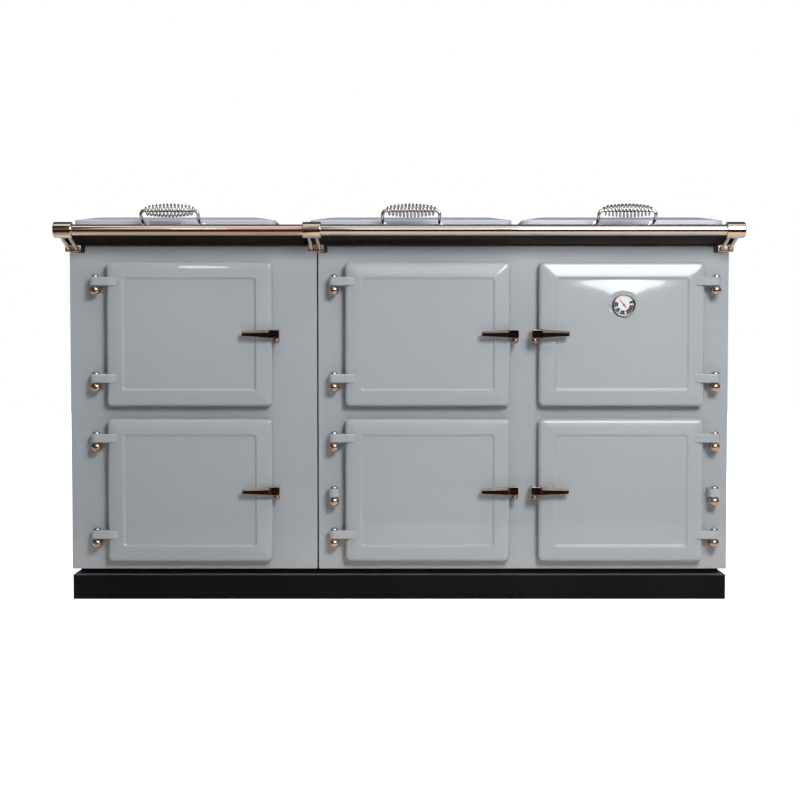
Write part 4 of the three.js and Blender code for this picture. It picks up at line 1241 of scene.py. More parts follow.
class Thermometer(Assembly):
    """The round thermometer in the upper right door."""

    seat, rim, dial, radius = 31.3, 41.3, 36.3, 28.0
    rest_angle = 38.0
    segments = ((62, 79), (91, 164), (173, 207), (217, 245), (256, 292))

    def __init__(self, paints: Paints) -> None:
        """Finds its place on the door."""
        super().__init__(paints)
        self.place = on_face("right_upper_oven_liner") @ Matrix.Translation((*GAUGE_SPOT, 0))

    def case(self) -> None:
        """The chrome case and bezel with its stem."""
        r, rim = self.radius, self.rim
        profile = [(0, -14), (5, -14), (5, self.seat), (r - 0.8, self.seat), (r, self.seat + 0.8)]
        profile += [(r, rim - 3.4), *bend(1.6, 10, 80, 7, (r - 1.6, rim - 1.6))]
        profile += [(r - 1.9, rim - 0.1), (r - 3.9, rim - 1.5), (r - 4.2, rim - 1.9)]
        profile += [(r - 4.6, self.dial - 0.2), (0, self.dial - 0.2)]
        made = Skin().turned(profile, 96).mesh("thermometer_bezel", self.place, 40)
        self.hand_over(made, "right_upper_door", GAUGE_METAL, Slot.DIAL, "thermometer_case")

    def face(self) -> None:
        """The white dial, its black segments and its ticks."""
        low, top, printed = self.dial - 0.1, self.dial, self.dial + 0.2
        disc = Skin().turned([(0, low), (23.3, low), (23.3, top), (0, top)], 96)
        made = disc.mesh("thermometer_dial", self.place)
        self.hand_over(made, "right_upper_door", DIAL_WHITE, Slot.DIAL)
        section = ((13.8, top), (22.8, top), (22.8, printed), (13.8, printed))
        print_skin = Skin()
        for start, end in self.segments:
            print_skin.band([
                [Vector((math.cos(a) * r, math.sin(a) * r, z)) for r, z in section]
                for a in arc(90 - start, 90 - end, 14)
            ])
        made = print_skin.mesh("thermometer_dial_segments", self.place)
        self.hand_over(made, "right_upper_door", DIAL_BLACK, Slot.DIAL)

    def ticks(self) -> None:
        """A pale tick in the middle of each stretch of the scale."""
        grown = Grown(
            "thermometer_ticks",
            {"Radius": 0.0186, "Start": math.radians(90 - 97), "Sweep": math.radians(-186), "Count": 13,
             "Width": 0.0008, "Length": 0.0019, "Lift": (self.dial + 0.3) * MM},
            self.paints(DIAL_WHITE),
        )
        graph, size = grown.graph, grown.size
        index = graph.node("GeometryNodeInputIndex")
        angle = size("Start") + index / (size("Count") - 1) * size("Sweep")
        spot = graph.vector(angle.cosine() * size("Radius"), angle.sine() * size("Radius"), size("Lift"))
        points = graph.node("GeometryNodePoints", {"Count": size("Count"), "Position": spot})
        cube = graph.vector(size("Length"), size("Width"), 0.0002)
        tick = graph.node("GeometryNodeMeshCube", {"Size": cube})
        ticks = graph.node(
            "GeometryNodeInstanceOnPoints",
            {"Points": points, "Instance": tick, "Rotation": graph.vector(z=angle)},
        )
        made = grown.finish(ticks)
        made.data.transform(in_metres(self.place))
        self.hand_over(made, "right_upper_door", DIAL_WHITE, Slot.DIAL)

    def needle(self) -> None:
        """The red needle on its hub, turned left of upright."""
        lift = self.dial + 1.6
        shape = [(-1.0, -8.2), (0, -8.6), (1.0, -8.2), (1.4, -2.0), (0.4, 17.0), (-0.4, 17.0), (-1.4, -2.0)]
        turn = Matrix.Rotation(math.radians(self.rest_angle), 4, "Z")
        made = Skin().slab(shape, lift, lift + 1.2, 0.25, turn)
        hub = [(0, 0), (2.5, 0), (2.7, 0.3), (2.5, 1.9), (1.8, 2.4), (0, 2.5)]
        made.turned([(r, lift + up) for r, up in hub], 32)
        piece = made.mesh("thermometer_red_needle", self.place)
        self.hand_over(piece, "thermometer_needle", NEEDLE_RED, Slot.NEEDLE, "thermometer_needle")

    def build(self) -> None:
        """Makes the thermometer."""
        self.case()
        self.face()
        self.ticks()
        self.needle()


class Body(Assembly):
    """The plinth, casings, front and back plates, hob castings and hotplates."""

    plate = 12.0
    ear_spacing = 165.0
    knuckle = (13.5, 26.0, 21.0)  # half width, height of its axis over the plate, and length
    hotplate_size = (400.0, 380.0)
    screws = {"left": 16, "right": 20}
    screw_inset, screw_radius = 18.0, 4.0

    def plinth(self) -> None:
        """The black plinth and its recess."""
        made = evened(eased_copy("plinth", "plinth_frame", 1.6))
        self.hand_over(made, "root", PLINTH_ENAMEL, Slot.BLACK_ENAMEL, "plinth")

    def under_hob_shade(self, side: str) -> None:
        """A dark strip of packing under a hob casting's front edge, put there to deepen the shade below the
        edge.
        """
        low, high = (corner.x for corner in millimetres(f"{side}_front_plate"))
        bottom = HOB_HEIGHT - HOB_THICKNESS
        front = (low + 4, FACE_Y - 1.8, bottom - 4.6)
        made = Skin().block(front, (high - 4, FACE_Y - 0.1, bottom - 0.3), 0.8)
        # painted shade: a dark strip that deepens the shadow under the hob's front edge
        self.hand_over(made.mesh(f"{side}_hob_packing"), "root", ROPE, Slot.OVEN)

    def shells(self) -> None:
        """The casings and back panels, with the screws that hold them."""
        for side in ("left", "right"):
            made = evened(eased_copy(f"{side}_casing", f"{side}_casing_shell", 1.4))
            self.hand_over(made, "root", GREY_ENAMEL, Slot.GREY_ENAMEL, f"{side}_casing")
            made = evened(eased_copy(f"{side}_back_panel", f"{side}_back_cover", 0.5))
            self.hand_over(made, "root", GALVANISED, Slot.SHEET, f"{side}_back_panel")
            low, high = millimetres(f"{side}_back_panel")
            cx, cz, size = (low.x + high.x) / 2, (low.z + high.z) / 2, high - low
            place = Matrix(((-1, 0, 0, cx), (0, 0, 1, high.y - 2), (0, 1, 0, cz), (0, 0, 0, 1)))
            row = screw_row(
                f"{side}_back_screws", self.paints(CHROME), place, size.x - 2 * self.screw_inset,
                size.z - 2 * self.screw_inset, self.screws[side], self.screw_radius,
            )
            self.hand_over(row, "root", CHROME, Slot.SHEET)

    def front_plate(self, side: str, doors: Sequence[Door], spares: Sequence[float]) -> None:
        """A front plate with its oven mouths, latch keepers and spare knuckles."""
        low, high = millimetres(f"{side}_casing")
        w, h = high.x - low.x, high.z - low.z
        rings = stack(w, h, 2.5, [(0.0, -self.plate), *rounded(2.0, 0.0, steps=6)], corner=4)
        made = Skin().band(rings).mesh(f"{side}_front_casting", on_face(f"{side}_casing"))
        mouths = []
        for door in doors:
            shape = outline(*door.sizes.mouth, door.sizes.mouth_corner, 8)
            mouths.append(Skin().slab(shape, -20, 10).mesh("mouth", door.place))
        cut(made, mouths)
        extras = Skin()
        for door in doors:
            near = door.side * (door.sizes.width / 2 + 5)
            edges = sorted((near, near + door.side * 14))
            extras.block((edges[0], -10, -1), (edges[1], 10, 18), 2.0, door.place)
        for x in spares:
            extras.add(self.spare_knuckle(), face_place(x, SPARE_HEIGHT))
        self._merge(made, extras.mesh("extras"))
        self.hand_over(evened(made), "root", GREY_ENAMEL, Slot.GREY_ENAMEL, f"{side}_front_plate")

    def spare_knuckle(self) -> Skin:
        """A rounded knuckle about a spare pin, rooted in the front plate."""
        half, standoff, length = self.knuckle
        rings = []
        for a in arc(-84, 84, 20):
            deep = standoff + math.cos(a) * half + 1
            rings.append([
                Vector((half * math.sin(a), y, z + deep / 2 - 1)) for y, z in outline(length, deep, 2.6, 5)
            ])
        return Skin().band(rings)

    @staticmethod
    def _merge(made: bpy.types.Object, other: bpy.types.Object) -> None:
        """Moves another object's mesh into a piece and deletes that object."""
        both = bmesh.new()
        both.from_mesh(made.data)
        both.from_mesh(other.data)
        both.to_mesh(made.data)
        both.free()
        bpy.data.objects.remove(other)
        shade(made.data, 32)

    def spare_pins(self, spares: dict[str, float]) -> None:
        """The two pins that no door hangs on."""
        for column, x in spares.items():
            pin = HingePin()
            place = face_place(x, SPARE_HEIGHT) @ Matrix.Translation((0, 0, pin.standoff))
            node = f"{column}_spare_hinge_pin"
            self.hand_over(pin.made(f"{node}_turning", place), "root", PIN_METAL, Slot.FITTINGS, node)

    def hob(self, side: str, lids: Sequence[str]) -> None:
        """A hob casting with its wells and hinge ears."""
        low, high = millimetres(f"{side}_hob_top")
        w, h = high.x - low.x, high.y - low.y
        bottom, top = HOB_HEIGHT - HOB_THICKNESS, HOB_HEIGHT
        rows = [(1.5, bottom), (0.4, bottom + 0.4), (0, bottom + 1.5), *rounded(5.0, top)]
        rings = stack(w, h, 14, rows, corner=8)
        middle = Matrix.Translation(((low.x + high.x) / 2, (low.y + high.y) / 2, 0))
        made = Skin().band(rings).mesh(f"{side}_hob_casting", middle)
        wells = []
        for lid in lids:
            spot = middle_of(f"{lid}_hotplate")
            wide, deep = (size + 2 for size in self.hotplate_size)
            well = Skin().slab(outline(wide, deep, 37, 10), top - 16.3, top + 10)
            wells.append(well.mesh("well", Matrix.Translation((spot.x, spot.y, 0))))
        cut(made, wells)
        ears = Skin()
        for lid in lids:
            x = middle_of(f"{lid}_lid_handle").x
            for sign in (-1, 1):
                spot = (x + sign * self.ear_spacing, FACE_Y + LID_AXIS[0], top + LID_AXIS[1])
                ears.add(self.ear(), Matrix.Translation(spot))
        self._merge(made, ears.mesh("ears"))
        self.hand_over(evened(made), "root", BLACK_ENAMEL, Slot.BLACK_ENAMEL, f"{side}_hob_top")

    def ear(self) -> Skin:
        """One hinge ear about the lid's axis, with a flare at its foot."""
        shape = bend(11, 0, 180, 16)
        shape += [(-11.5, -8), (-13.5, -12.5), (-16, -14.5), (16, -14.5), (13.5, -12.5), (11.5, -8)]
        return Skin().slab(shape, -7, 7, 1.2, EDGEWISE)

    def hotplates(self) -> None:
        """The three ground hotplates."""
        rows = [(0.0, HOB_HEIGHT - 16), (0.0, HOB_HEIGHT + 3.8), *rounded(1.2, HOB_HEIGHT + 5, 15, 90, 5)]
        rings = stack(*self.hotplate_size, 36, rows, corner=12)
        for name in COLUMNS:
            spot = middle_of(f"{name}_hotplate")
            place = Matrix.Translation((spot.x, spot.y, 0))
            made = Skin().band(rings).mesh(f"{name}_hotplate_casting", place)
            finish = TurnedIron(
                f"{name}_hotplate_iron", (78, 79, 80), (58, 59, 60), roughness=0.38, metallic=0.8,
                waves=0.000012, grain=0.000006, grain_scale=400, gloss_drift=0.15,
                centre=(spot.x * MM, spot.y * MM),
            )
            self.hand_over(evened(made), "root", finish, Slot.IRON, f"{name}_hotplate")

    def build(self, doors: Sequence[Door]) -> None:
        """Makes the body round the given doors."""
        self.plinth()
        self.shells()
        spares = {
            door.column: door.place.to_translation().x - door.side * (door.sizes.width / 2 + PIN_OUTSET)
            for door in doors if door.name in ("middle_lower", "right_lower")
        }
        self.front_plate("left", [door for door in doors if door.column == "left"], [])
        self.front_plate("right", [door for door in doors if door.column != "left"], list(spares.values()))
        self.spare_pins(spares)
        self.hob("left", ["left"])
        self.hob("right", ["middle", "right"])
        self.under_hob_shade("left")
        self.under_hob_shade("right")
        self.hotplates()


@dataclass
class LidSizes:
    """A lid and its handle."""

    width: float = 497.0
    depth: float = 480.0
    front: float = 20.0
    rim: float = 34.0
    edge: float = 4.0
    bevel: float = 47.0
    height: float = 44.0
    corner: float = 22.0
    hollow: float = 12.0
    hollow_inset: float = 36.0
    lug_spacing: float = 180.6
    trunnion: Point = (156.0, 181.0)
    leg: float = 68.5
    bar: float = 4.0
    foot_rise: float = 21.5
    grip_rise: float = 49.0
    reach: float = 70.0


class Lid(Assembly):
    """An insulated lid with its handle and the coil that keeps the grip cool."""

    def __init__(self, paints: Paints, name: str, sizes: LidSizes) -> None:
        """Finds the lid's place."""
        super().__init__(paints)
        self.name, self.sizes = name, sizes
        self.x = middle_of(f"{name}_lid_handle").x
        self.place = Matrix.Translation((self.x, FACE_Y, HOB_HEIGHT))

    def dome(self) -> Skin:
        """The lid's shell, from its hollow underside to its flat top."""
        s = self.sizes
        rows = [
            (s.hollow_inset + 1.5, s.corner, s.hollow), (s.hollow_inset, s.corner, s.hollow - 1.5),
            (s.hollow_inset, s.corner, 1.3), (s.hollow_inset - 1.2, s.corner, 0.4),
            (2.0, s.corner - 2, 0.4), (0.6, s.corner, 1.0), (0.0, s.corner, 2.4),
        ]
        slope = math.degrees(math.atan((s.height - s.rim) / s.bevel))
        rows += [(inset, s.corner - inset, z) for inset, z in rounded(s.edge, s.rim, 0, 90 - slope)]
        inset0, _, height0 = rows[-1]
        for share, drop in ((0.3, 0), (0.6, 0), (0.82, 0), (0.92, 0.12), (0.98, 0.3)):
            inset, height = inset0 + (s.bevel - inset0) * share, height0 + (s.height - height0) * share
            rows.append((inset, s.corner - 3, height - drop))
        rows += [
            (s.bevel + 1.5, s.corner - 4, s.height - 0.35), (s.bevel + 6, s.corner - 6, s.height - 0.05),
            (s.bevel + 12, s.corner - 8, s.height),
        ]
        shell = Skin().band(tiers(s.width, s.depth, rows, corner=10))
        return Skin().add(shell, Matrix.Translation((0, s.front + s.depth / 2, 0)))

    def lugs(self) -> Skin:
        """The lugs at the back, with the trunnions that turn in the hob's ears."""
        s, made, axis = self.sizes, Skin(), Vector((0, *LID_AXIS))
        shape = bend(10.5, -90, 90, 14) + [(-20, 10.5), (-20, -10.5)]
        for sign in (-1, 1):
            place = Matrix.Translation(axis + Vector((sign * s.lug_spacing, 0, 0))) @ EDGEWISE
            made.slab(shape, -8, 8, 1.2, place)
            low, high = sorted(sign * x for x in s.trunnion)
            pin = [(0, low), (4.2, low), (5, low + 0.8), (5, high - 0.8), (4.2, high), (0, high)]
            made.turned(pin, 24, Matrix.Translation(axis) @ ALONG_X)
        return made

    def handle(self) -> None:
        """The bent bar with a collar at each foot."""
        s = self.sizes
        face, grip = s.front - 0.3, s.front - s.reach
        leg = [
            (s.leg, face, s.foot_rise), (s.leg, face - 30, s.foot_rise + 1),
            (s.leg, grip + 12, s.foot_rise + 9), (s.leg, grip + 1, s.grip_rise - 9),
            (s.leg - 4, grip, s.grip_rise - 1.5), (s.leg - 14, grip, s.grip_rise),
            (s.leg * 0.45, grip, s.grip_rise),
        ]
        route = [Vector(p) for p in leg] + [Vector((-x, y, z)) for x, y, z in reversed(leg)]
        made = Skin().swept(smooth_path(route, 8), s.bar, 20)
        collar = [(0, 0), (8, 0), (8, 2.4), *bend(1.6, 15, 90, 5, (6.4, 2.4)), (0, 4)]
        forward = Matrix.Rotation(math.radians(90), 4, "X")
        for sign in (-1, 1):
            made.turned(collar, 32, Matrix.Translation((sign * s.leg, face, s.foot_rise)) @ forward)
        piece = made.mesh(f"{self.name}_handle_bar", self.place, 40)
        self.hand_over(piece, f"{self.name}_lid", CHROME, Slot.CHROME, f"{self.name}_lid_handle")

    def coil(self) -> None:
        """The open coil round the grip: a barrel whose end turns draw in to hold the bar."""
        s = self.sizes
        grown = Grown(
            f"{self.name}_coil_grip",
            {"Length": 0.118, "Turns": 13.5, "Middle Radius": 0.0149, "End Radius": 0.0094,
             "Seat Radius": 0.00655, "Seat Turns": 0.75, "Wire Radius": 0.0021, "Points": 541},
            self.paints(CHROME),
        )
        graph, size = grown.graph, grown.size
        share = graph.node("GeometryNodeInputIndex") / (size("Points") - 1)
        angle = share * size("Turns") * (2 * math.pi)
        swell = (share * math.pi).sine() * (size("Middle Radius") - size("End Radius"))
        barrel = swell + size("End Radius")
        inside = share.minimum(1 - share) * size("Turns")
        open_share = graph.spread(inside, 0.0, size("Seat Turns"))
        radius = size("Seat Radius") + (barrel - size("Seat Radius")) * open_share
        spot = graph.vector((share - 0.5) * size("Length"), angle.cosine() * radius, angle.sine() * radius)
        line = graph.node("GeometryNodeMeshLine", {"Count": size("Points")})
        placed = graph.node("GeometryNodeSetPosition", {"Geometry": line, "Position": spot})
        curve = graph.node("GeometryNodeMeshToCurve", {"Mesh": placed})
        made = grown.finish(grown.rod(curve, size("Wire Radius"), 10, **{"Fill Caps": True}))
        middle = self.place @ Vector((0, s.front - s.reach, s.grip_rise))
        made.data.transform(Matrix.Translation(middle * MM))
        self.hand_over(made, f"{self.name}_lid", CHROME, Slot.CHROME, f"{self.name}_handle_coil")

    def build(self) -> None:
        """Makes the lid."""
        shell = self.dome().add(self.lugs()).mesh(f"{self.name}_lid_cover", self.place)
        self.hand_over(evened(shell), f"{self.name}_lid", LIT_LID_ENAMEL, Slot.GREY_ENAMEL, f"{self.name}_lid")
        self.handle()
        self.coil()


@dataclass
class BracketSizes:
    """A bracket of the towel rail, whose barrel is centred at the rail's height."""

    height: float
    barrel: float = 19.0
    length: float = 44.0
    edge: float = 2.4
    rail: float = 13.0
    standoff: float = 80.0
    socket: float = 14.0
    strut: float = 4.6
    spacing: float = 19.0
    ball: float = 6.2
    foot: tuple[float, float, float] = (38.0, 8.0, 17.5)
    foot_z: float = 861.95
    shift: float = 5.0


class TowelRail(Assembly):
    """The two lengths of rail and the three brackets that carry them."""

    def __init__(self, paints: Paints, sizes: BracketSizes) -> None:
        """Finds the brackets' barrels."""
        super().__init__(paints)
        self.sizes = sizes
        left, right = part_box("left_rail"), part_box("right_rail")
        reach = (sizes.length / 2 - sizes.socket + 0.3) * MM
        ends = left[0].x - reach, left[1].x + reach, right[1].x + reach
        self.barrels = {name: x / MM for name, x in zip(COLUMNS, ends)}
        self.axis = Matrix.Translation((0, FACE_Y - sizes.standoff, sizes.height)) @ ALONG_X

    def barrel(self, sockets: Sequence[int]) -> Skin:
        """A turned barrel, bored where a rail enters it."""
        s = self.sizes
        half = s.length / 2
        end = bend(s.edge, 0, 90, 6, (s.barrel - s.edge, half - s.edge))
        bore, floor = s.rail + 0.3, half - s.socket
        socket = [(s.rail + 1.2, half), (bore, half - 0.6), (bore, floor), (0, floor)]
        left, right = (end + (socket if sign in sockets else [(0, half)]) for sign in (-1, 1))
        return Skin().turned([(r, -x) for r, x in reversed(left)] + right, 72, self.axis)

    def bracket(self, name: str, shift: float, sockets: Sequence[int]) -> None:
        """A barrel, its two struts and its foot."""
        s, made = self.sizes, self.barrel(sockets)
        foot_w, foot_t, foot_h = s.foot
        low = (shift - foot_w / 2, FACE_Y - 0.3 - foot_t, s.foot_z - foot_h / 2)
        high = (shift + foot_w / 2, FACE_Y - 0.3, s.foot_z + foot_h / 2)
        made.block(low, high, 1.6)
        balls = Skin()
        for sign in (-0.5, 0.5):
            out = FACE_Y - s.standoff + s.barrel - 7
            start = Vector((sign * s.spacing, out, s.height - s.barrel + 8))
            end = Vector((shift + sign * s.spacing, FACE_Y - 0.3 - foot_t - 1, s.foot_z - 1))
            made.swept([start.lerp(end, i / 6) for i in range(7)], s.strut, 24)
            globe = bend(s.ball, -90, 90, 16)
            globe[0], globe[-1] = (0.0, -s.ball), (0.0, s.ball)
            balls.turned(globe, 24, Matrix.Translation(end))
        there = Matrix.Translation((self.barrels[name], 0, 0))
        piece = evened(made.mesh(f"{name}_bracket_casting", there))
        self.hand_over(piece, "root", FITTINGS, Slot.FITTINGS, f"{name}_rail_bracket")
        self.hand_over(balls.mesh(f"{name}_strut_ends", there), "root", BRONZE, Slot.FITTINGS)
        # A black block beside the inner edge of each foot.
        inner = 1 if shift > 0 else -1
        edges = sorted((shift + inner * (foot_w / 2 - 8), shift + inner * (foot_w / 2 + 9)))
        low, high = (edges[0], FACE_Y - 4.4, s.foot_z - 10.5), (edges[1], FACE_Y - 0.1, s.foot_z + 8.0)
        pad = Skin().block(low, high, 1.4)
        self.hand_over(pad.mesh(f"{name}_foot_pad", there), "root", DARK_FOOT_BLOCK, Slot.BLACK_ENAMEL)

    def rail(self, side: str, finish: Finish) -> None:
        """One length of polished tube."""
        r = self.sizes.rail
        low, high = (corner.x for corner in millimetres(f"{side}_rail"))
        profile = [(0, low), (r - 1, low), (r, low + 1), (r, high - 1), (r - 1, high), (0, high)]
        made = Skin().turned(profile, 72).mesh(f"{side}_rail_tube", self.axis)
        self.hand_over(evened(made), "root", finish, Slot.RAIL, f"{side}_rail")

    def build(self) -> None:
        """Makes the rail."""
        self.bracket("left", self.sizes.shift, (1,))
        self.bracket("middle", self.sizes.shift, (-1, 1))
        self.bracket("right", -self.sizes.shift, (-1,))
        self.rail("left", COPPERY_RAIL_METAL)
        self.rail("right", RAIL_METAL)


# ---------------------------------------------------------------- the studio


@dataclass(frozen=True)
class Softbox:
    """A soft lamp: its place and what it looks at, in metres, its size and its radiance."""

    name: str
    place: Place
    target: Place
    size: Point
    radiance: float

    def light(self) -> None:
        """Adds the lamp."""
        data = bpy.data.lights.new(self.name, "AREA")
        data.shape, (data.size, data.size_y) = "RECTANGLE", self.size
        data.energy = self.radiance * math.pi * self.size[0] * self.size[1]
        lamp = linked(self.name, data)
        lamp.location = self.place
        way = Vector(self.target) - Vector(self.place)
        lamp.rotation_euler = way.to_track_quat("-Z", "Y").to_euler()
        lamp.visible_camera = lamp.visible_glossy = False
        LOG.info("lamp %s", self.name)


def staged(
    name: str, points: Sequence[Sequence[float]], faces: Faces, paint: str
) -> tuple[bpy.types.Object, Graph]:
    """A piece of the studio and the empty node tree of its new material."""
    data = bpy.data.meshes.new(name)
    data.from_pydata(points, [], faces)
    made = linked(name, data)
    material = bpy.data.materials.new(paint)
    material.use_nodes = True
    data.materials.append(material)
    return made, Graph(material.node_tree)


@dataclass(frozen=True)
class Glow:
    """A card that only polished surfaces see: its name, its tone and its strength."""

    name: str
    tone: Tone
    strength: float

    def shape(self) -> tuple[list[Vector], Faces]:
        """The card's points and faces."""
        raise NotImplementedError

    def put_up(self) -> None:
        """Adds the card."""
        made, graph = staged(self.name, *self.shape(), self.name)
        glow = graph.node("ShaderNodeEmission", {"Color": colour_of(*self.tone), "Strength": self.strength})
        graph.node("ShaderNodeOutputMaterial", {"Surface": glow})
        made.visible_camera = made.visible_diffuse = False
        made.visible_shadow = made.visible_transmission = False
        LOG.info("card %s", self.name)


@dataclass(frozen=True)
class Wall(Glow):
    """A card bent round the set, between two heights and two ends in degrees right of straight ahead."""

    radius: float
    rise: Point
    sweep: Point = (-75.0, 75.0)

    def shape(self) -> tuple[list[Vector], Faces]:
        """The card's points and faces."""
        steps = 48
        rows = [
            Vector((self.radius * math.sin(a), -self.radius * math.cos(a), z))
            for z in self.rise for a in arc(*self.sweep, steps)
        ]
        return rows, [(i, i + 1, steps + 2 + i, steps + 1 + i) for i in range(steps)]


@dataclass(frozen=True)
class Window(Glow):
    """A flat card at a place, turned to face a target, with its width and height in metres."""

    place: Place
    target: Place
    size: Point

    def shape(self) -> tuple[list[Vector], Faces]:
        """The card's points and faces."""
        place = Vector(self.place)
        turn = (Vector(self.target) - place).to_track_quat("-Z", "Y")
        w, h = self.size[0] / 2, self.size[1] / 2
        flat = ((-w, -h, 0), (w, -h, 0), (w, h, 0), (-w, h, 0))
        return [place + turn @ Vector(point) for point in flat], [(0, 1, 2, 3)]


@dataclass(frozen=True)
class Sheet(Glow):
    """A level card at a height, between two corners."""

    height: float
    low: Point
    high: Point

    def shape(self) -> tuple[list[Vector], Faces]:
        """The card's points and faces."""
        (x0, y0), (x1, y1), z = self.low, self.high, self.height
        level = ((x0, y0, z), (x1, y0, z), (x1, y1, z), (x0, y1, z))
        return [Vector(point) for point in level], [(0, 1, 2, 3)]


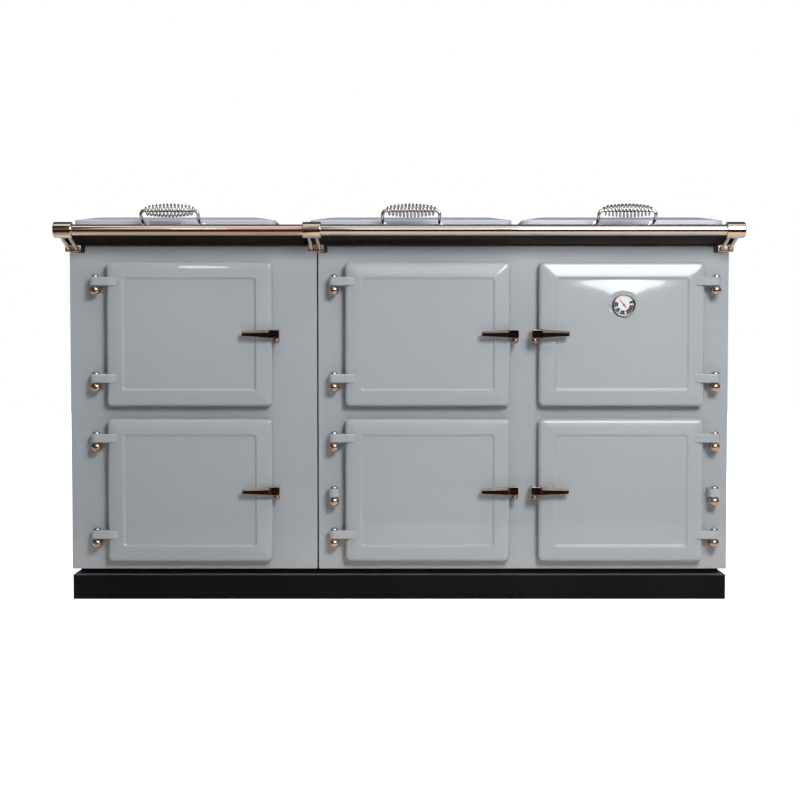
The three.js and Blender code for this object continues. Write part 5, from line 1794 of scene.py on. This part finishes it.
class Studio:
    """The floor, the white surroundings, the lamps and the camera."""

    ambient = 0.06
    floor_half, floor_z = 9.0, -0.0005
    focal_pixels = 1346.2
    picture = 800
    sensor = 36.0
    eye = Vector((0.0017, -3.5505, 0.6233))
    pitch = -2.288
    lamps = (
        Softbox("key_softbox", (1.0, -2.9, 2.02), (0.1, -0.25, 0.6), (1.0, 1.0), 27.4),
        Softbox("top_softbox", (-0.5, -1.2, 2.75), (-0.1, -0.1, 0.8), (2.6, 0.8), 3.0),
        Softbox("lid_softbox", (-1.0, 0.5, 2.5), (-0.5, 0.0, 0.93), (1.6, 0.6), 7.2),
        Softbox("left_fill_softbox", (-3.1, 0.4, 1.2), (-0.8, 0.05, 0.5), (1.6, 1.6), 3.2),
        Softbox("right_fill_softbox", (3.1, 0.4, 1.2), (0.8, 0.05, 0.5), (1.6, 1.6), 3.2),
        Softbox("back_fill_softbox", (0.0, 4.0, 0.85), (0.0, 0.3, 0.5), (2.0, 1.0), 9.0),
    )
    walls = (
        Wall("dark_front_card", (38, 35, 36), 1.0, 4.6, (0.0, 1.4)),
        Wall("middle_left_card", (170, 150, 138), 1.0, 4.58, (1.15, 2.6), (-75, -6)),
        Wall("middle_right_card", (186, 172, 162), 1.0, 4.62, (1.4, 2.6), (-6, 75)),
        Wall("white_strip_card", (255, 250, 246), 1.1, 4.64, (2.6, 3.2)),
        Wall("upper_left_card", (226, 214, 208), 1.0, 4.66, (3.2, 6.5), (-75, 3)),
        Wall("upper_right_card", (244, 240, 236), 1.0, 4.66, (3.2, 6.5), (3, 75)),
        Wall("dark_left_card", (60, 57, 56), 1.0, 4.7, (0.0, 6.5), (-170, -75)),
        Wall("dark_back_card", (70, 67, 66), 1.0, 4.72, (0.0, 6.5), (75, 190)),
        Wall("left_flag_card", (50, 34, 28), 1.0, 4.5, (1.6, 6.5), (-75, -22.4)),
        Wall("middle_flag_card", (46, 30, 24), 1.0, 4.5, (1.6, 6.5), (-7.2, -5.6)),
        Wall("left_streak_card", (255, 255, 255), 9.0, 2.6, (1.59, 1.67), (-20.5, -16.0)),
    )
    sheets = (
        Sheet("dark_floor_left_card", (50, 36, 28), 1.0, 0.012, (-4.4, -4.4), (-0.3, -1.25)),
        Sheet("dark_floor_right_card", (50, 36, 28), 1.0, 0.012, (-0.3, -4.4), (4.4, -1.5)),
        Sheet("tan_floor_left_card", (184, 158, 136), 1.0, 0.012, (-4.4, -1.25), (-0.3, -0.36)),
        Sheet("tan_floor_right_card", (236, 212, 194), 1.0, 0.012, (-0.3, -1.5), (4.4, -0.36)),
        Sheet("front_ceiling_card", (206, 202, 200), 1.0, 6.4, (-4.6, -4.6), (4.6, -0.9)),
        Sheet("middle_ceiling_card", (118, 117, 118), 1.0, 6.4, (-4.6, -0.9), (4.6, 0.9)),
        Sheet("dark_ceiling_card", (60, 60, 62), 1.0, 6.4, (-4.6, 0.9), (4.6, 4.7)),
        Sheet("overhead_card", (255, 255, 255), 1.8, 2.9, (-1.6, -1.05), (1.6, -0.85)),
    )
    windows = (
        Window("key_window_card", (255, 255, 255), 9.0, (1.12, -2.5, 1.80), (0.8, -0.2, 1.2), (1.2, 1.3)),
        Window("key_window_halo", (255, 255, 255), 1.8, (1.2, -2.56, 1.78), (0.86, -0.2, 1.2), (1.5, 1.5)),
        Window("veil_card", (255, 251, 248), 2.0, (0.1, -2.52, 1.47), (0.0, -0.2, 1.0), (0.6, 0.45)),
    )

    def camera(self) -> None:
        """The camera at the photograph's angle."""
        data = bpy.data.cameras.new("camera")
        data.sensor_width = self.sensor
        data.lens = self.focal_pixels * self.sensor / self.picture
        made = linked("camera", data)
        made.location = self.eye
        made.rotation_euler = Euler((math.radians(90 + self.pitch), 0, 0))
        bpy.context.scene.camera = made

    def world(self) -> None:
        """White where the camera, gloss or glass looks, and a plain soft level for the rest."""
        world = bpy.data.worlds.new("studio")
        bpy.context.scene.world = world
        world.use_nodes = True
        graph = Graph(world.node_tree)
        kinds = ("Camera", "Glossy", "Transmission")
        rays = [graph.node("ShaderNodeLightPath", out=f"Is {kind} Ray") for kind in kinds]
        seen = rays[0] + rays[1] + rays[2]
        level = self.ambient + seen.minimum(1.0) * (1 - self.ambient)
        back = graph.node("ShaderNodeBackground", {"Color": (1, 1, 1, 1), "Strength": level})
        graph.node("ShaderNodeOutputWorld", {"Surface": back})

    def floor(self) -> None:
        """A plain pale floor that keeps the object's shadow."""
        half, z = self.floor_half, self.floor_z
        points = [(-half, -half, z), (half, -half, z), (half, half, z), (-half, half, z)]
        _, graph = staged("floor", points, [(0, 1, 2, 3)], "pale_floor")
        where = graph.node("ShaderNodeTexCoord", out="Object")
        tone = graph.mix(graph.noise(where, 2.0), colour_of(214, 214, 214), colour_of(219, 219, 219))
        camera = graph.node("ShaderNodeLightPath", out="Is Camera Ray")
        away = graph.node("ShaderNodeVectorMath", {0: where}, out="Value", operation="LENGTH")
        lift = camera * (0.75 + graph.spread(away, 0.9, 3.0) * 0.8)
        glow = graph.node("ShaderNodeCombineColor", {0: lift, 1: lift, 2: lift})
        shader = graph.node("ShaderNodeBsdfPrincipled", {
            "Base Color": tone, "Roughness": 0.7, "Specular IOR Level": 0.1, "Emission Color": glow,
            "Emission Strength": 1.0,
        })
        graph.node("ShaderNodeOutputMaterial", {"Surface": shader})

    def build(self) -> None:
        """Sets up the studio."""
        self.camera()
        self.world()
        self.floor()
        for lamp in self.lamps:
            lamp.light()
        for card in (*self.walls, *self.sheets, *self.windows):
            card.put_up()
        bpy.context.scene.view_settings.view_transform = "Standard"


def main() -> None:
    logging.basicConfig(level=logging.INFO, format="%(name)s: %(message)s")
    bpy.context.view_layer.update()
    Studio().build()
    paints = Paints()
    doors = [
        Door(paints, column, level, side)
        for column, side in (("left", 1), ("middle", 1), ("right", -1)) for level in Level
    ]
    Body(paints).build(doors)
    for door in doors:
        door.build()
    Thermometer(paints).build()
    for name in COLUMNS:
        Lid(paints, name, LidSizes()).build()
    TowelRail(paints, BracketSizes(middle_of("left_rail").z)).build()


if __name__ == "__main__":
    main()
